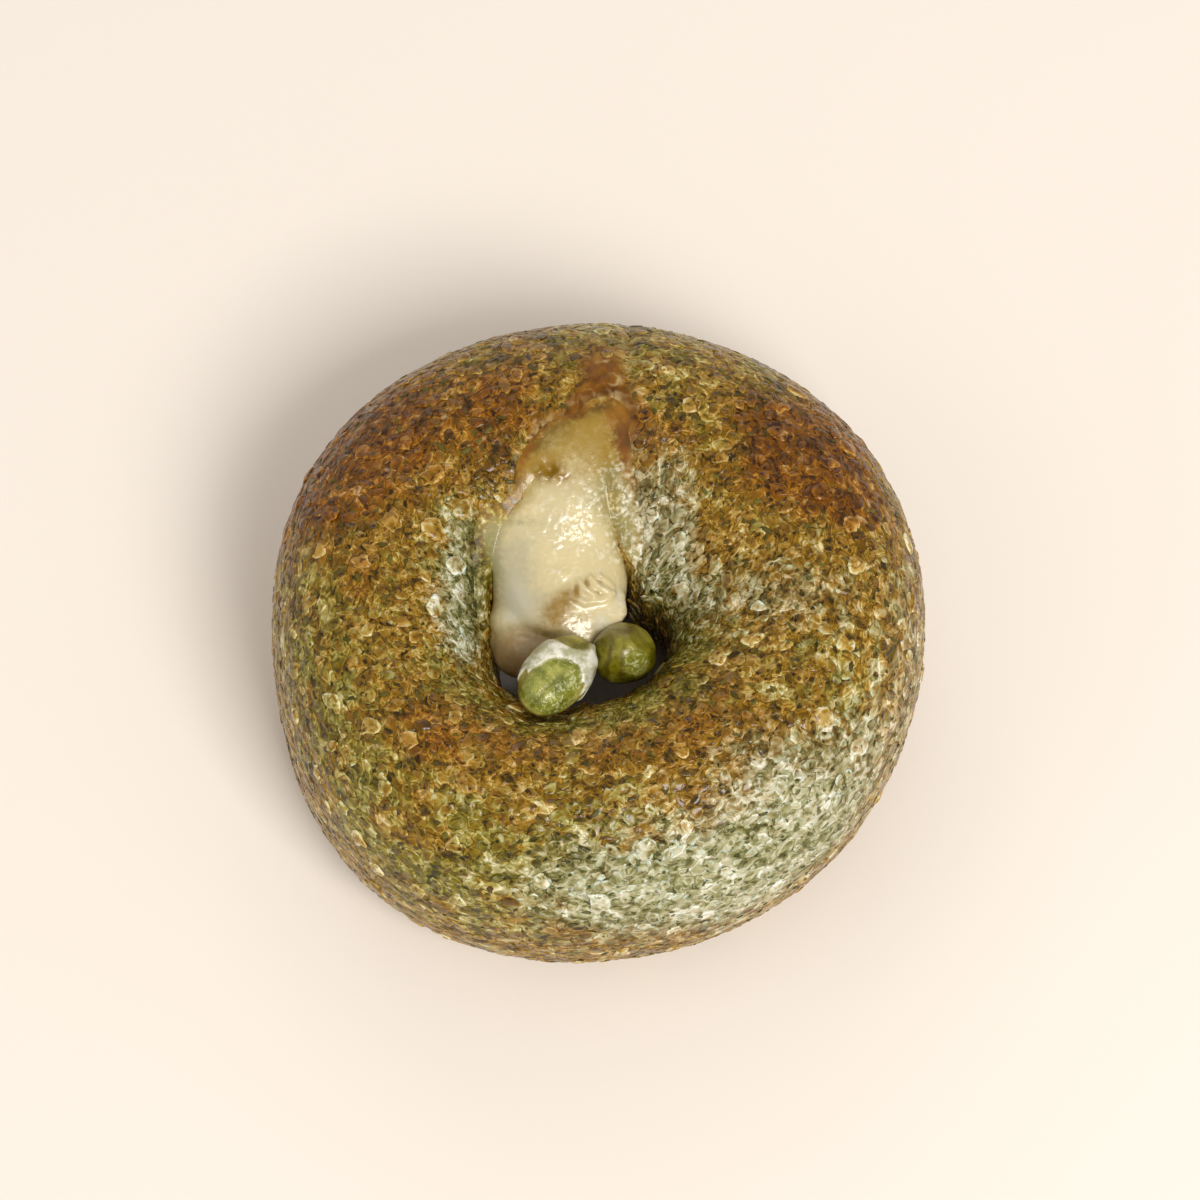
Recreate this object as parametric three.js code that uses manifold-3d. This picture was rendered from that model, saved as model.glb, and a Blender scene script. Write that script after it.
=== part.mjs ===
// A plump seaweed bagel, filled with cream cheese and green soybeans.
// The dough is one rope bent into a ring and joined at the back. The filling has burst out of the join,
// runs down into the hole and carries two beans there. Millimetres, +Z up, +Y towards the join.
import * as THREE from "three";
import { mergeVertices } from "three/addons/utils/BufferGeometryUtils.js";
import Module from "manifold-3d";

const wasm = await Module();
wasm.setup();

// Driving dimensions of the dough
const WIDTH = 100;
const DEPTH = 102;
const HEIGHT = 45;
const WIDEST_AT = 20;
const HOLE = { x: -2.3, y: -3.4, width: 27, depth: 21, turn: 8 };
const TOP_FULLNESS = 2.15;
const BASE_FULLNESS = 2.6;
const BASE_SINK = 1.6;

// How far the plan outline wanders from an ellipse: waves round the ring, as shares of the radius
const OUTLINE_WAVES = [
  { count: 2, size: 0.021, peak: 23 },
  { count: 3, size: 0.006, peak: -7 },
  { count: 4, size: 0.011, peak: -38 },
  { count: 5, size: 0.005, peak: -32 },
];

// Relief of the crust: slow waves round the ring and the rope, puckers near the hole, blisters and the seam
const SWELL = 0.35;
const SWELL_WAVES = [
  { around: 3, across: 2, start: 0 },
  { around: 5, across: -1, start: 1 },
  { around: 2, across: -3, start: 4 },
];
const PUCKER = { depth: 0.45, counts: [9, 14, 23] };
const BLISTERS = { count: 90, least: 1.8, most: 3.6, rise: 0.16, seed: 7 };
const SEAM = { x: 5.4, halfWidth: 1, depth: 0.7, step: 0.5, stepReach: 9, fromY: [4, 16], fromZ: [29, 41] };

// The sunken place where the filling burst out, which is only in the upper skin
const BURST = { x: -4.5, y: 17, halfWidth: 8.5, halfDepth: 11, depth: 2.2, fromZ: [20, 39] };

// Places where the skin swells out or is pressed in: the rolled edge beside the burst, and the beans' beds
const ROLLED_EDGE = { at: [8, 7.5, 33], reach: 8, rise: 3.4 };
const FRONT_BEAN_BED = { at: [-9, -19, 37], reach: 6.5, rise: -2.2 };
const SIDE_BEAN_BED = { at: [8.5, -10.8, 30.5], reach: 4.5, rise: -0.8 };
const PLACES = [ROLLED_EDGE, FRONT_BEAN_BED, SIDE_BEAN_BED];

// Grid of the dough: evenly spaced sections, and closer ones (degrees from the seam) that show its groove
const ROUND_THE_RING = 104;
const ROUND_THE_ROPE = 42;
const SEAM_SECTIONS = [-3.4, -2.2, -1.1, 0, 1.1, 2.2, 3.4];
const SEAM_CLEAR = 4.6;
const SEAM_LEAD_REACH = 36;

// The gap left where two pieces touch
const CONTACT_GAP = 0.3;

// Stations of a run of cheese: its middle, half of its width and half of its thickness. Its skin is uneven
const CHEESE_TONGUE = [
  { at: [1.2, 31, 42.6], halfWidth: 4.5, halfThick: 3 },
  { at: [-3.2, 24, 40.3], halfWidth: 9.5, halfThick: 4.2 },
  { at: [-7, 15.5, 36.3], halfWidth: 11, halfThick: 5 },
  { at: [-7.2, 8, 33.3], halfWidth: 11, halfThick: 5.8 },
  { at: [-5.8, 0.5, 31.2], halfWidth: 10.5, halfThick: 6.2 },
  { at: [-4, -8.5, 30.2], halfWidth: 8, halfThick: 6 },
];
const CHEESE_SWELL = 0.2;
const CHEESE_LOBE = [
  { at: [-8, 6, 30], halfWidth: 8, halfThick: 5.5 },
  { at: [-9.6, -1, 29], halfWidth: 7, halfThick: 5.5 },
  { at: [-9.8, -9.5, 27.5], halfWidth: 6, halfThick: 4.8 },
];

// The green soybeans: half of the length, width and thickness, and the way that each one points
const FRONT_BEAN = { at: [-5.7, -13.5, 38.5], along: [0.57, 0.8, -0.25], halves: [7.6, 4.7, 4.1] };
const SIDE_BEAN = { at: [4.25, -8.1, 33], along: [0.03, 0.1, -0.99], halves: [6.4, 4.85, 4.6] };
const BEAN_DENT = { depth: 0.5, halfWidth: 0.45 };
const BEAN_TAPER = 0.04;
const TOWARDS_VIEWER = new THREE.Vector3(0, -0.375, 0.927);

const FULL_TURN = 2 * Math.PI;
const UP = new THREE.Vector3(0, 0, 1);

function seeded(seed) {
  let state = seed;
  return () => {
    state = (state * 16807) % 2147483647;
    return state / 2147483647;
  };
}

function signedPower(value, power) {
  return Math.sign(value) * Math.abs(value) ** power;
}

// The plan outline: a point on the ring's outer edge, and one on the hole's edge, in the same direction
function planPoints(around) {
  const wander = OUTLINE_WAVES.reduce(
    (sum, { count, size, peak }) => sum + size * Math.cos(count * (around - THREE.MathUtils.degToRad(peak))),
    1,
  );
  const [east, north] = [Math.cos(around), Math.sin(around)];
  const outer = new THREE.Vector3((WIDTH / 2) * wander * east, (DEPTH / 2) * wander * north, WIDEST_AT);
  const turn = THREE.MathUtils.degToRad(HOLE.turn);
  const inner = new THREE.Vector3(
    (HOLE.width / 2) * Math.cos(around - turn),
    (HOLE.depth / 2) * Math.sin(around - turn),
    0,
  ).applyAxisAngle(UP, turn);
  inner.add(new THREE.Vector3(HOLE.x, HOLE.y, WIDEST_AT));
  return { outer, inner };
}

// The smooth dough: a fuller-than-round section on top, a squarer one below. Also which way its skin faces
function smoothDough(around, across) {
  const { outer, inner } = planPoints(around);
  const middle = outer.clone().add(inner).multiplyScalar(0.5);
  const outward = outer.clone().sub(inner);
  const half = outward.length() / 2;
  outward.normalize();
  const onTop = Math.sin(across) > 0;
  const power = 2 / (onTop ? TOP_FULLNESS : BASE_FULLNESS);
  const rise = onTop ? HEIGHT - WIDEST_AT : WIDEST_AT + BASE_SINK;
  const out = signedPower(Math.cos(across), power);
  const up = signedPower(Math.sin(across), power);
  const point = middle.addScaledVector(outward, half * out).addScaledVector(UP, rise * up);
  const facing = outward.multiplyScalar(out / half).addScaledVector(UP, up / rise).normalize();
  return { point, facing };
}

const random = seeded(BLISTERS.seed);
const blisters = Array.from({ length: BLISTERS.count }, () => ({
  at: smoothDough(FULL_TURN * random(), Math.PI * (random() * 1.1 - 0.15)).point,
  radius: THREE.MathUtils.lerp(BLISTERS.least, BLISTERS.most, random() ** 2),
}));

function blisterRise(point) {
  return blisters.reduce((rise, { at, radius }) => {
    const share = point.distanceTo(at) / radius;
    return Math.max(rise, share < 1 ? BLISTERS.rise * radius * (1 - share * share) : 0);
  }, 0);
}

// How far the skin stands out of the smooth dough, or is sunk into it
function relief(around, across, point) {
  const swell = SWELL_WAVES.reduce(
    (sum, wave) => sum + SWELL * Math.sin(wave.around * around + wave.across * across + wave.start),
    0,
  );
  const nearHole = Math.max(0, -Math.cos(across)) ** 2;
  const folds = PUCKER.counts.reduce((sum, count, i) => sum + Math.cos(count * around + 2 * i), 0);
  const pucker = (PUCKER.depth * nearHole * folds) / PUCKER.counts.length;
  const { smoothstep } = THREE.MathUtils;
  const fromSeam = point.x - SEAM.x;
  const groove = SEAM.depth * Math.exp(-((fromSeam / SEAM.halfWidth) ** 2));
  const step = fromSeam < 0 ? SEAM.step * Math.exp(fromSeam / SEAM.stepReach) : 0;
  const seam = (groove + step) * smoothstep(point.y, ...SEAM.fromY) * smoothstep(point.z, ...SEAM.fromZ);
  const fromBurst = [(point.x - BURST.x) / BURST.halfWidth, (point.y - BURST.y) / BURST.halfDepth];
  const burst =
    BURST.depth * Math.exp(-(Math.hypot(...fromBurst) ** 2)) * smoothstep(point.z, ...BURST.fromZ);
  const places = PLACES.reduce((sum, { at: [x, y, z], reach, rise }) => {
    const apart = Math.hypot(point.x - x, point.y - y, point.z - z);
    return sum + rise * Math.exp(-((apart / reach) ** 2));
  }, 0);
  return swell + pucker + blisterRise(point) - seam - burst + places;
}

function doughPoint(around, across) {
  const { point, facing } = smoothDough(around, across);
  point.addScaledVector(facing, relief(around, across, point));
  point.z = Math.max(point.z, 0);
  return point;
}

// The angle round the ring at which the smooth skin crosses the seam, at one place across the rope
function seamAngle(across) {
  let [low, high] = [Math.PI / 4, (3 * Math.PI) / 4];
  for (let i = 0; i < 24; i++) {
    const middle = (low + high) / 2;
    if (smoothDough(middle, across).point.x > SEAM.x) low = middle;
    else high = middle;
  }
  return low;
}

// The dough's skin is a grid that closes on itself both ways. Its sections bend to run along the seam
function ringGeometry() {
  const { degToRad } = THREE.MathUtils;
  const seamAtEdge = seamAngle(0);
  const even = Array.from({ length: ROUND_THE_RING }, (_, i) => (FULL_TURN * i) / ROUND_THE_RING);
  const sections = [
    ...even.filter((angle) => Math.abs(angle - seamAtEdge) > degToRad(SEAM_CLEAR)),
    ...SEAM_SECTIONS.map((offset) => seamAtEdge + degToRad(offset)),
  ].sort((a, b) => a - b);
  const rope = Array.from({ length: ROUND_THE_ROPE }, (_, j) => (FULL_TURN * j) / ROUND_THE_ROPE);
  const leads = rope.map((across) => seamAngle(across) - seamAtEdge);
  const positions = sections.flatMap((angle) => {
    const follow = Math.exp(-(((angle - seamAtEdge) / degToRad(SEAM_LEAD_REACH)) ** 2));
    return rope.flatMap((across, j) => [...doughPoint(angle + leads[j] * follow, across)]);
  });
  const at = (i, j) => (i % sections.length) * rope.length + (j % rope.length);
  const index = sections.flatMap((_, i) =>
    rope.flatMap((_, j) => [
      ...[at(i, j), at(i + 1, j), at(i + 1, j + 1)],
      ...[at(i, j), at(i + 1, j + 1), at(i, j + 1)],
    ]),
  );
  return new THREE.BufferGeometry()
    .setAttribute("position", new THREE.Float32BufferAttribute(positions, 3))
    .setIndex(index);
}

// A closed skin made from a ball: each of its points is moved where place() says
function shapedBall(alongSteps, roundSteps, place) {
  const ball = new THREE.SphereGeometry(1, roundSteps, alongSteps);
  ball.deleteAttribute("normal");
  ball.deleteAttribute("uv");
  const geometry = mergeVertices(ball, 1e-4);
  const position = geometry.getAttribute("position");
  const point = new THREE.Vector3();
  for (let i = 0; i < position.count; i++) {
    place(point.fromBufferAttribute(position, i));
    position.setXYZ(i, point.x, point.y, point.z);
  }
  return geometry;
}

// A run of cheese: a ball stretched along a spine, with the width and thickness of its stations
function cheeseRun(stations) {
  const spine = new THREE.CatmullRomCurve3(stations.map(({ at }) => new THREE.Vector3(...at)));
  const girth = new THREE.CatmullRomCurve3(
    stations.map(({ halfWidth, halfThick }) => new THREE.Vector3(halfWidth, halfThick, 0)),
  );
  return shapedBall(22, 26, (point) => {
    const share = (1 - point.y) / 2;
    const taper = (1 - Math.abs(point.y) ** 3) ** (1 / 3);
    const round = Math.hypot(point.x, point.z) || 1;
    const [wide, thick] = [(point.x / round) * taper, (point.z / round) * taper];
    const { x: halfWidth, y: halfThick } = girth.getPoint(share);
    const side = new THREE.Vector3(1, 0, 0);
    const lift = side.clone().cross(spine.getTangent(share)).negate().normalize();
    const waves = Math.sin(17 * share + 2 * wide) + Math.sin(9 * share - 4 * wide);
    const swell = 1 + (CHEESE_SWELL / halfThick) * waves;
    point
      .copy(spine.getPoint(share))
      .addScaledVector(side, halfWidth * wide * swell)
      .addScaledVector(lift, halfThick * thick * swell);
  });
}

// A soybean: an egg shape with a shallow dent down the side that faces the viewer
function beanGeometry({ at, along, halves }) {
  const [halfLength, halfWidth, halfThick] = halves;
  const length = new THREE.Vector3(...along).normalize();
  const width = length.clone().cross(TOWARDS_VIEWER).normalize();
  const through = width.clone().cross(length);
  return shapedBall(16, 24, (point) => {
    const { x, y, z } = point;
    const plump = 1 - BEAN_TAPER * y;
    const across = Math.exp(-((x / BEAN_DENT.halfWidth) ** 2));
    const dent = z > 0 ? BEAN_DENT.depth * z * across * (1 - y * y) : 0;
    point
      .set(...at)
      .addScaledVector(length, halfLength * y)
      .addScaledVector(width, halfWidth * x * plump)
      .addScaledVector(through, halfThick * z * plump - dent);
  });
}

// The same skin moved outwards, to cut a neighbour clear of it
function grown(geometry, by) {
  const wider = geometry.clone();
  wider.computeVertexNormals();
  const position = wider.getAttribute("position");
  const normal = wider.getAttribute("normal");
  for (let i = 0; i < position.count; i++)
    position.setXYZ(
      i,
      position.getX(i) + by * normal.getX(i),
      position.getY(i) + by * normal.getY(i),
      position.getZ(i) + by * normal.getZ(i),
    );
  wider.deleteAttribute("normal");
  return wider;
}

function solidOf(geometry) {
  return new wasm.Manifold(
    new wasm.Mesh({
      numProp: 3,
      vertProperties: new Float32Array(geometry.getAttribute("position").array),
      triVerts: new Uint32Array(geometry.index.array),
    }),
  );
}

function geometryOf(solid) {
  const mesh = solid.getMesh();
  return new THREE.BufferGeometry()
    .setAttribute("position", new THREE.BufferAttribute(mesh.vertProperties, 3))
    .setIndex(new THREE.BufferAttribute(mesh.triVerts, 1));
}

function largestBody(solid) {
  return solid.decompose().reduce((best, body) => (body.volume() > best.volume() ? body : best));
}

const dough = ringGeometry();
const frontBean = beanGeometry(FRONT_BEAN);
const sideBean = beanGeometry(SIDE_BEAN);

// The cheese lies against the dough and round the beans, a hair clear of each
const cheese = [dough, frontBean, sideBean].reduce(
  (left, neighbour) => left.subtract(solidOf(grown(neighbour, CONTACT_GAP))),
  solidOf(cheeseRun(CHEESE_TONGUE)).add(solidOf(cheeseRun(CHEESE_LOBE))),
);

const CRUST = new THREE.MeshStandardMaterial({ color: "#8d7440", roughness: 0.45, metalness: 0 });
const CHEESE = new THREE.MeshStandardMaterial({ color: "#e0d0a0", roughness: 0.3, metalness: 0 });
const GREEN_BEAN = new THREE.MeshStandardMaterial({ color: "#98a04c", roughness: 0.3, metalness: 0 });

function piece(name, geometry, material) {
  const mesh = new THREE.Mesh(geometry, material);
  mesh.name = name;
  return mesh;
}

const bagel = new THREE.Group();
bagel.add(
  piece("dough", dough, CRUST),
  piece("cheese", geometryOf(largestBody(cheese)), CHEESE),
  piece("front_bean", frontBean, GREEN_BEAN),
  piece("side_bean", sideBean, GREEN_BEAN),
);

// The part's origin is the middle of the face that it rests on
const box = new THREE.Box3().setFromObject(bagel);
const middle = box.getCenter(new THREE.Vector3());
bagel.position.set(-middle.x, -middle.y, -box.min.z);

export default bagel;
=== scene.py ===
# %% [markdown]
# # A seaweed bagel with cream cheese and green soybeans
# The bagel is one fat rope of dough, bent into a ring and joined at the back. Seaweed is baked into it. Its
# filling of cream cheese burst out beside the join, ran down into the hole and carried two green soybeans there.
# The lesson builds it from the biggest shape to the smallest: the ring, its blisters and its flakes of seaweed,
# then the cheese, then the beans. The solids of the plain model give the places and the sizes.

# %% Load the solids
import math

import bmesh
import bpy
import numpy as np
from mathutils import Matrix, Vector, noise
from mathutils.bvhtree import BVHTree


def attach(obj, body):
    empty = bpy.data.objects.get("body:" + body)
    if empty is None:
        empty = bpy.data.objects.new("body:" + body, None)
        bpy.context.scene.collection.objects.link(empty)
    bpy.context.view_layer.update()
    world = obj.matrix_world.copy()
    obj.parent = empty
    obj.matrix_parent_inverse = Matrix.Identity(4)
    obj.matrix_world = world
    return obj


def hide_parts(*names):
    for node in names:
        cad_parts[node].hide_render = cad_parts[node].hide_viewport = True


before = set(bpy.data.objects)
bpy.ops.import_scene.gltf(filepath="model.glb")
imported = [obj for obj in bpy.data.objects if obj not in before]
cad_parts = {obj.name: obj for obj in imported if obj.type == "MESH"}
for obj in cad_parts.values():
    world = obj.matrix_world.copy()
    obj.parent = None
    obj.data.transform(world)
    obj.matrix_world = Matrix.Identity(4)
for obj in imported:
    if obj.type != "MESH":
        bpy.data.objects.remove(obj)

MM = 0.001
FULL_TURN = 2 * math.pi
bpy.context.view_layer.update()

# %% [markdown]
# Node trees make the surfaces and the materials here, so the first helper adds a node to a tree. It takes what
# goes into the node in the order of its sockets, or by name. Math nodes are used so often that the name of the
# operation alone, in capitals, is enough for one.


# %% A helper that adds a node
def add(tree, kind, *given, **settings):
    """Adds a node with its settings and links. A node that is given stands for its first output."""
    if kind.isupper():
        kind, settings = "ShaderNodeMath", {**settings, "operation": kind}
    node = tree.nodes.new(kind)
    for name, value in settings.items():
        setattr(node, name, value)
    sockets = [socket for socket in node.inputs if socket.enabled]
    if given and isinstance(given[0], dict):
        pairs = [(next(s for s in sockets if s.name == name), value) for name, value in given[0].items()]
    else:
        pairs = list(zip(sockets, given))
    for socket, value in pairs:
        if isinstance(value, bpy.types.Node):
            value = next(output for output in value.outputs if output.enabled)
        if isinstance(value, bpy.types.NodeSocket):
            tree.links.new(value, socket)
        elif value is not None:
            socket.default_value = value
    return node


def linear(colour):
    """Turns an sRGB hex colour into the linear values that Blender's shaders take."""
    shares = [int(colour[start : start + 2], 16) / 255 for start in (1, 3, 5)]
    return (*[s / 12.92 if s <= 0.04045 else ((s + 0.055) / 1.055) ** 2.4 for s in shares], 1)


# %% [markdown]
# A piece that follows a rule is grown by Geometry Nodes: a tree with named inputs, which runs as a modifier.
# Afterwards its result is kept as a plain mesh, so that nothing in the finished object is still being worked out.

# %% Helpers that open a tree and grow a piece with it
SOCKETS = {float: "Float", int: "Int", tuple: "Vector", bpy.types.Material: "Material"}


def open_tree(name, inputs):
    """Makes an empty Geometry Nodes tree with named inputs, and returns it with its two end nodes."""
    tree = bpy.data.node_groups.new(name, "GeometryNodeTree")
    tree.interface.new_socket("Geometry", in_out="INPUT", socket_type="NodeSocketGeometry")
    for label, value in inputs.items():
        tree.interface.new_socket(label, in_out="INPUT", socket_type="NodeSocket" + SOCKETS[type(value)])
    tree.interface.new_socket("Geometry", in_out="OUTPUT", socket_type="NodeSocketGeometry")
    return tree, add(tree, "NodeGroupInput"), add(tree, "NodeGroupOutput")


def grow(name, tree, inputs, start=None):
    """Runs a tree on a mesh, or on nothing, and returns the result as an object with a plain mesh."""
    piece = bpy.data.objects.new(name, start or bpy.data.meshes.new(name))
    bpy.context.scene.collection.objects.link(piece)
    modifier = piece.modifiers.new("Grow", "NODES")
    modifier.node_group = tree
    for socket in tree.interface.items_tree:
        if socket.in_out == "INPUT" and socket.name in inputs:
            modifier[socket.identifier] = inputs[socket.name]
    depsgraph = bpy.context.evaluated_depsgraph_get()
    mesh = bpy.data.meshes.new_from_object(
        piece.evaluated_get(depsgraph), preserve_all_data_layers=True, depsgraph=depsgraph
    )
    piece.modifiers.clear()
    piece.data = mesh
    mesh.name = name
    report(piece)
    return piece


def report(piece):
    """Prints how many triangles a piece has, and the box that it fills."""
    mesh = piece.data
    mesh.calc_loop_triangles()
    corners = np.array([corner for corner in piece.bound_box]) / MM
    spans = ", ".join(f"{low:.1f} to {high:.1f}" for low, high in zip(corners.min(0), corners.max(0)))
    print(f"{piece.name}: {len(mesh.loop_triangles)} triangles, {spans} mm")


# %% [markdown]
# ## Camera, light and floor
# The photograph looks down from the front with a long lens, as catalogue pictures of food do. The main light is a
# large soft box in front, to the right. Wide weak ones behind and on the left open up the shadows. The room is dim,
# because a brighter one would be mirrored by the whole crust and turn its browns grey.

# %% Camera
AIM = Vector((0.32, 9.37, 12)) * MM
DISTANCE = 0.62
ELEVATION = math.radians(68)
LENS = 118.6
SENSOR_WIDTH = 36

camera = bpy.data.objects.new("Camera", bpy.data.cameras.new("Camera"))
camera.data.lens = LENS
camera.data.sensor_width = SENSOR_WIDTH
towards_camera = Vector((0, -math.cos(ELEVATION), math.sin(ELEVATION)))
camera.location = AIM + DISTANCE * towards_camera
camera.rotation_euler = towards_camera.to_track_quat("Z", "Y").to_euler()
bpy.context.scene.collection.objects.link(camera)
bpy.context.scene.camera = camera
bpy.context.scene.view_settings.view_transform = "Standard"
print("camera at, mm:", [round(v / MM) for v in camera.location])

# %% Lights and room
# Each light: azimuth and elevation in degrees, distance and size in metres, watts, colour
LIGHTS = {
    "Main": (32, 50, 1.5, 0.6, 16.0, "#fffcf8"),
    "Back": (190, 30, 1.6, 1.2, 4.0, "#fffaf0"),
    "Side": (-75, 35, 1.6, 1.0, 2.0, "#fff8ec"),
}
ROOM_COLOUR = "#fffaf5"
ROOM_STRENGTH = 0.5

for name, (azimuth, elevation, distance, size, watts, colour) in LIGHTS.items():
    light = bpy.data.objects.new(name, bpy.data.lights.new(name, "AREA"))
    light.data.size = size
    light.data.energy = watts
    light.data.color = linear(colour)[:3]
    round_it, above = math.radians(azimuth), math.radians(elevation)
    level = math.cos(above)
    direction = Vector((math.sin(round_it) * level, -math.cos(round_it) * level, math.sin(above)))
    light.location = direction * distance
    light.rotation_euler = direction.to_track_quat("Z", "Y").to_euler()
    bpy.context.scene.collection.objects.link(light)
print("lights:", ", ".join(LIGHTS))

world = bpy.data.worlds.new("Room")
world.use_nodes = True
world.node_tree.nodes["Background"].inputs["Color"].default_value = linear(ROOM_COLOUR)
world.node_tree.nodes["Background"].inputs["Strength"].default_value = ROOM_STRENGTH
bpy.context.scene.world = world


# %% Floor
def new_material(name, **sockets):
    """Makes a material and sets what is the same all over it on its shader's own sockets."""
    material = bpy.data.materials.new(name)
    material.use_nodes = True
    shader = material.node_tree.nodes["Principled BSDF"]
    for label, value in sockets.items():
        shader.inputs[label.replace("_", " ")].default_value = value
    return material, material.node_tree, shader


# Matt cream paper: it mirrors next to nothing, so its colour is even. Its grain is a little over 1 mm wide.
GRAINS_PER_METRE = 900.0
paper, paper_tree, paper_shader = new_material(
    "Matt_cream_paper", Base_Color=linear("#f4ece3"), Roughness=0.9, Specular_IOR_Level=0.1
)
fine = add(paper_tree, "ShaderNodeTexNoise", {"Scale": GRAINS_PER_METRE, "Detail": 2.0})
grain = add(paper_tree, "ShaderNodeBump", {"Strength": 0.05, "Distance": 0.0002, "Height": fine})
paper_tree.links.new(grain.outputs[0], paper_shader.inputs["Normal"])

HALF_FLOOR = 3.0
floor_mesh = bpy.data.meshes.new("Floor")
floor_corners = [(-HALF_FLOOR, -HALF_FLOOR, 0), (HALF_FLOOR, -HALF_FLOOR, 0)]
floor_corners += [(HALF_FLOOR, HALF_FLOOR, 0), (-HALF_FLOOR, HALF_FLOOR, 0)]
floor_mesh.from_pydata(floor_corners, [], [(0, 1, 2, 3)])
floor_mesh.materials.append(paper)
floor = bpy.data.objects.new("Floor", floor_mesh)
bpy.context.scene.collection.objects.link(floor)

# %% [markdown]
# ## The ring of dough
# Every cross-section of the rope is a superellipse, a circle pushed out towards its corners, and squarer below
# where the dough rested while it rose. A flat grid of points has one direction that runs round the ring and one
# that runs across the rope. The tree below works out the two angles of each point, and from them its place.
# Drawing this by hand with a curve and a bevel would give every section the same shape, and the hole and the
# outline of a real bagel aren't parallel.

# %% The rule of the ring, in millimetres
ROPE = {
    "Sections": 540,
    "Rows": 184,
    "Width": 100.0,
    "Depth": 102.0,
    "Height": 45.0,
    "Widest at": 20.0,
    "Hole centre": (-2.3, -3.4, 0.0),
    "Hole width": 27.0,
    "Hole depth": 21.0,
    "Hole turn": math.radians(8),
    "Top fullness": 2.15,
    "Base fullness": 2.6,
    "Base sink": 1.6,
    "Swell": 0.35,
    "Pucker": 0.45,
    "Grain height": 0.16,
}
# The outline wanders from an ellipse: how many waves go round, their size, and where they peak in degrees
OUTLINE_WAVES = [(2, 0.021, 23), (3, 0.006, -7), (4, 0.011, -38), (5, 0.005, -32)]
# Slow swells: waves round the ring, waves across the rope, start
SWELL_WAVES = [(3, 2, 0), (5, -1, 1), (2, -3, 4)]
# How many puckers gather round the hole, in three sizes
PUCKERS = [9, 14, 23]
# The seam at the back, and the sunken place beside it where the filling burst out. The seam fades in along y and z.
SEAM = {"x": 5.4, "half_width": 1.0, "depth": 0.7, "step": 0.5, "step_reach": 9.0}
SEAM_FADES_IN = (("Y", 4.0, 16.0), ("Z", 29.0, 41.0))
BURST = {"x": -4.5, "y": 17.0, "half_width": 8.5, "half_depth": 11.0, "depth": 2.2}
BURST_FADES_IN = {"From Min": 20.0, "From Max": 39.0}
# Where the skin swells out or is pressed in: middle, reach, rise
PLACES = {
    "rolled edge": ((8, 7.5, 33), 8.0, 3.4),
    "bed of the front bean": ((-9, -19, 37), 6.5, -2.2),
    "bed of the side bean": ((8.5, -10.8, 30.5), 4.5, -0.8),
}
# The two angles are kept as a place on an unrolled skin: round a drum of the ring's middle radius, and up it by
# the length across the rope. Patterns that read it stretch with the dough, as real blisters do near the hole.
DRUM_RADIUS = 31.0
ROPE_RADIUS = 22.0
# Rows crowd together on top, where they show, and spread out underneath
ROW_CROWDING = 0.3
# The solid's origin is the middle of its base, a little beside the rule's own
ORIGIN = (-0.337, 0.171, 0.0)
# Points closer than this many millimetres are one
SAME_POINT = 0.001

# %% The tree of the ring: from a grid to the smooth rope
ring_tree, given, result = open_tree("Bagel rope", ROPE)
size = given.outputs
grid = add(ring_tree, "GeometryNodeMeshGrid", FULL_TURN, FULL_TURN, size["Sections"], size["Rows"])
cell = add(ring_tree, "ShaderNodeSeparateXYZ", add(ring_tree, "GeometryNodeInputPosition")).outputs
crowd = add(ring_tree, "MULTIPLY_ADD", add(ring_tree, "SINE", cell["Y"]), -ROW_CROWDING, cell["Y"])
across = add(ring_tree, "ADD", crowd, math.pi / 2)
east, north = add(ring_tree, "COSINE", cell["X"]), add(ring_tree, "SINE", cell["X"])
unrolled = add(
    ring_tree,
    "ShaderNodeCombineXYZ",
    add(ring_tree, "MULTIPLY", east, DRUM_RADIUS),
    add(ring_tree, "MULTIPLY", north, DRUM_RADIUS),
    add(ring_tree, "MULTIPLY", across, ROPE_RADIUS),
)
marked = add(
    ring_tree,
    "GeometryNodeStoreNamedAttribute",
    {"Geometry": grid.outputs["Mesh"], "Name": "skin", "Value": unrolled},
    data_type="FLOAT_VECTOR",
)

wander = 1.0
for count, share, peak in OUTLINE_WAVES:
    angle = add(ring_tree, "MULTIPLY_ADD", cell["X"], float(count), -count * math.radians(peak))
    wander = add(ring_tree, "MULTIPLY_ADD", add(ring_tree, "COSINE", angle), share, wander)
edge = add(
    ring_tree,
    "ShaderNodeCombineXYZ",
    add(ring_tree, "MULTIPLY", add(ring_tree, "MULTIPLY", size["Width"], east), 0.5),
    add(ring_tree, "MULTIPLY", add(ring_tree, "MULTIPLY", size["Depth"], north), 0.5),
)
outer = add(ring_tree, "ShaderNodeVectorMath", edge, wander, operation="SCALE")
turned = add(ring_tree, "SUBTRACT", cell["X"], size["Hole turn"])
hole_edge = add(
    ring_tree,
    "ShaderNodeCombineXYZ",
    add(ring_tree, "MULTIPLY", size["Hole width"], add(ring_tree, "COSINE", turned)),
    add(ring_tree, "MULTIPLY", size["Hole depth"], add(ring_tree, "SINE", turned)),
)
hole_edge = add(ring_tree, "ShaderNodeVectorMath", hole_edge, 0.5, operation="SCALE")
hole_edge = add(
    ring_tree,
    "ShaderNodeVectorRotate",
    {"Vector": hole_edge, "Angle": size["Hole turn"]},
    rotation_type="Z_AXIS",
)
inner = add(ring_tree, "ShaderNodeVectorMath", hole_edge, size["Hole centre"], operation="ADD")

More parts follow.
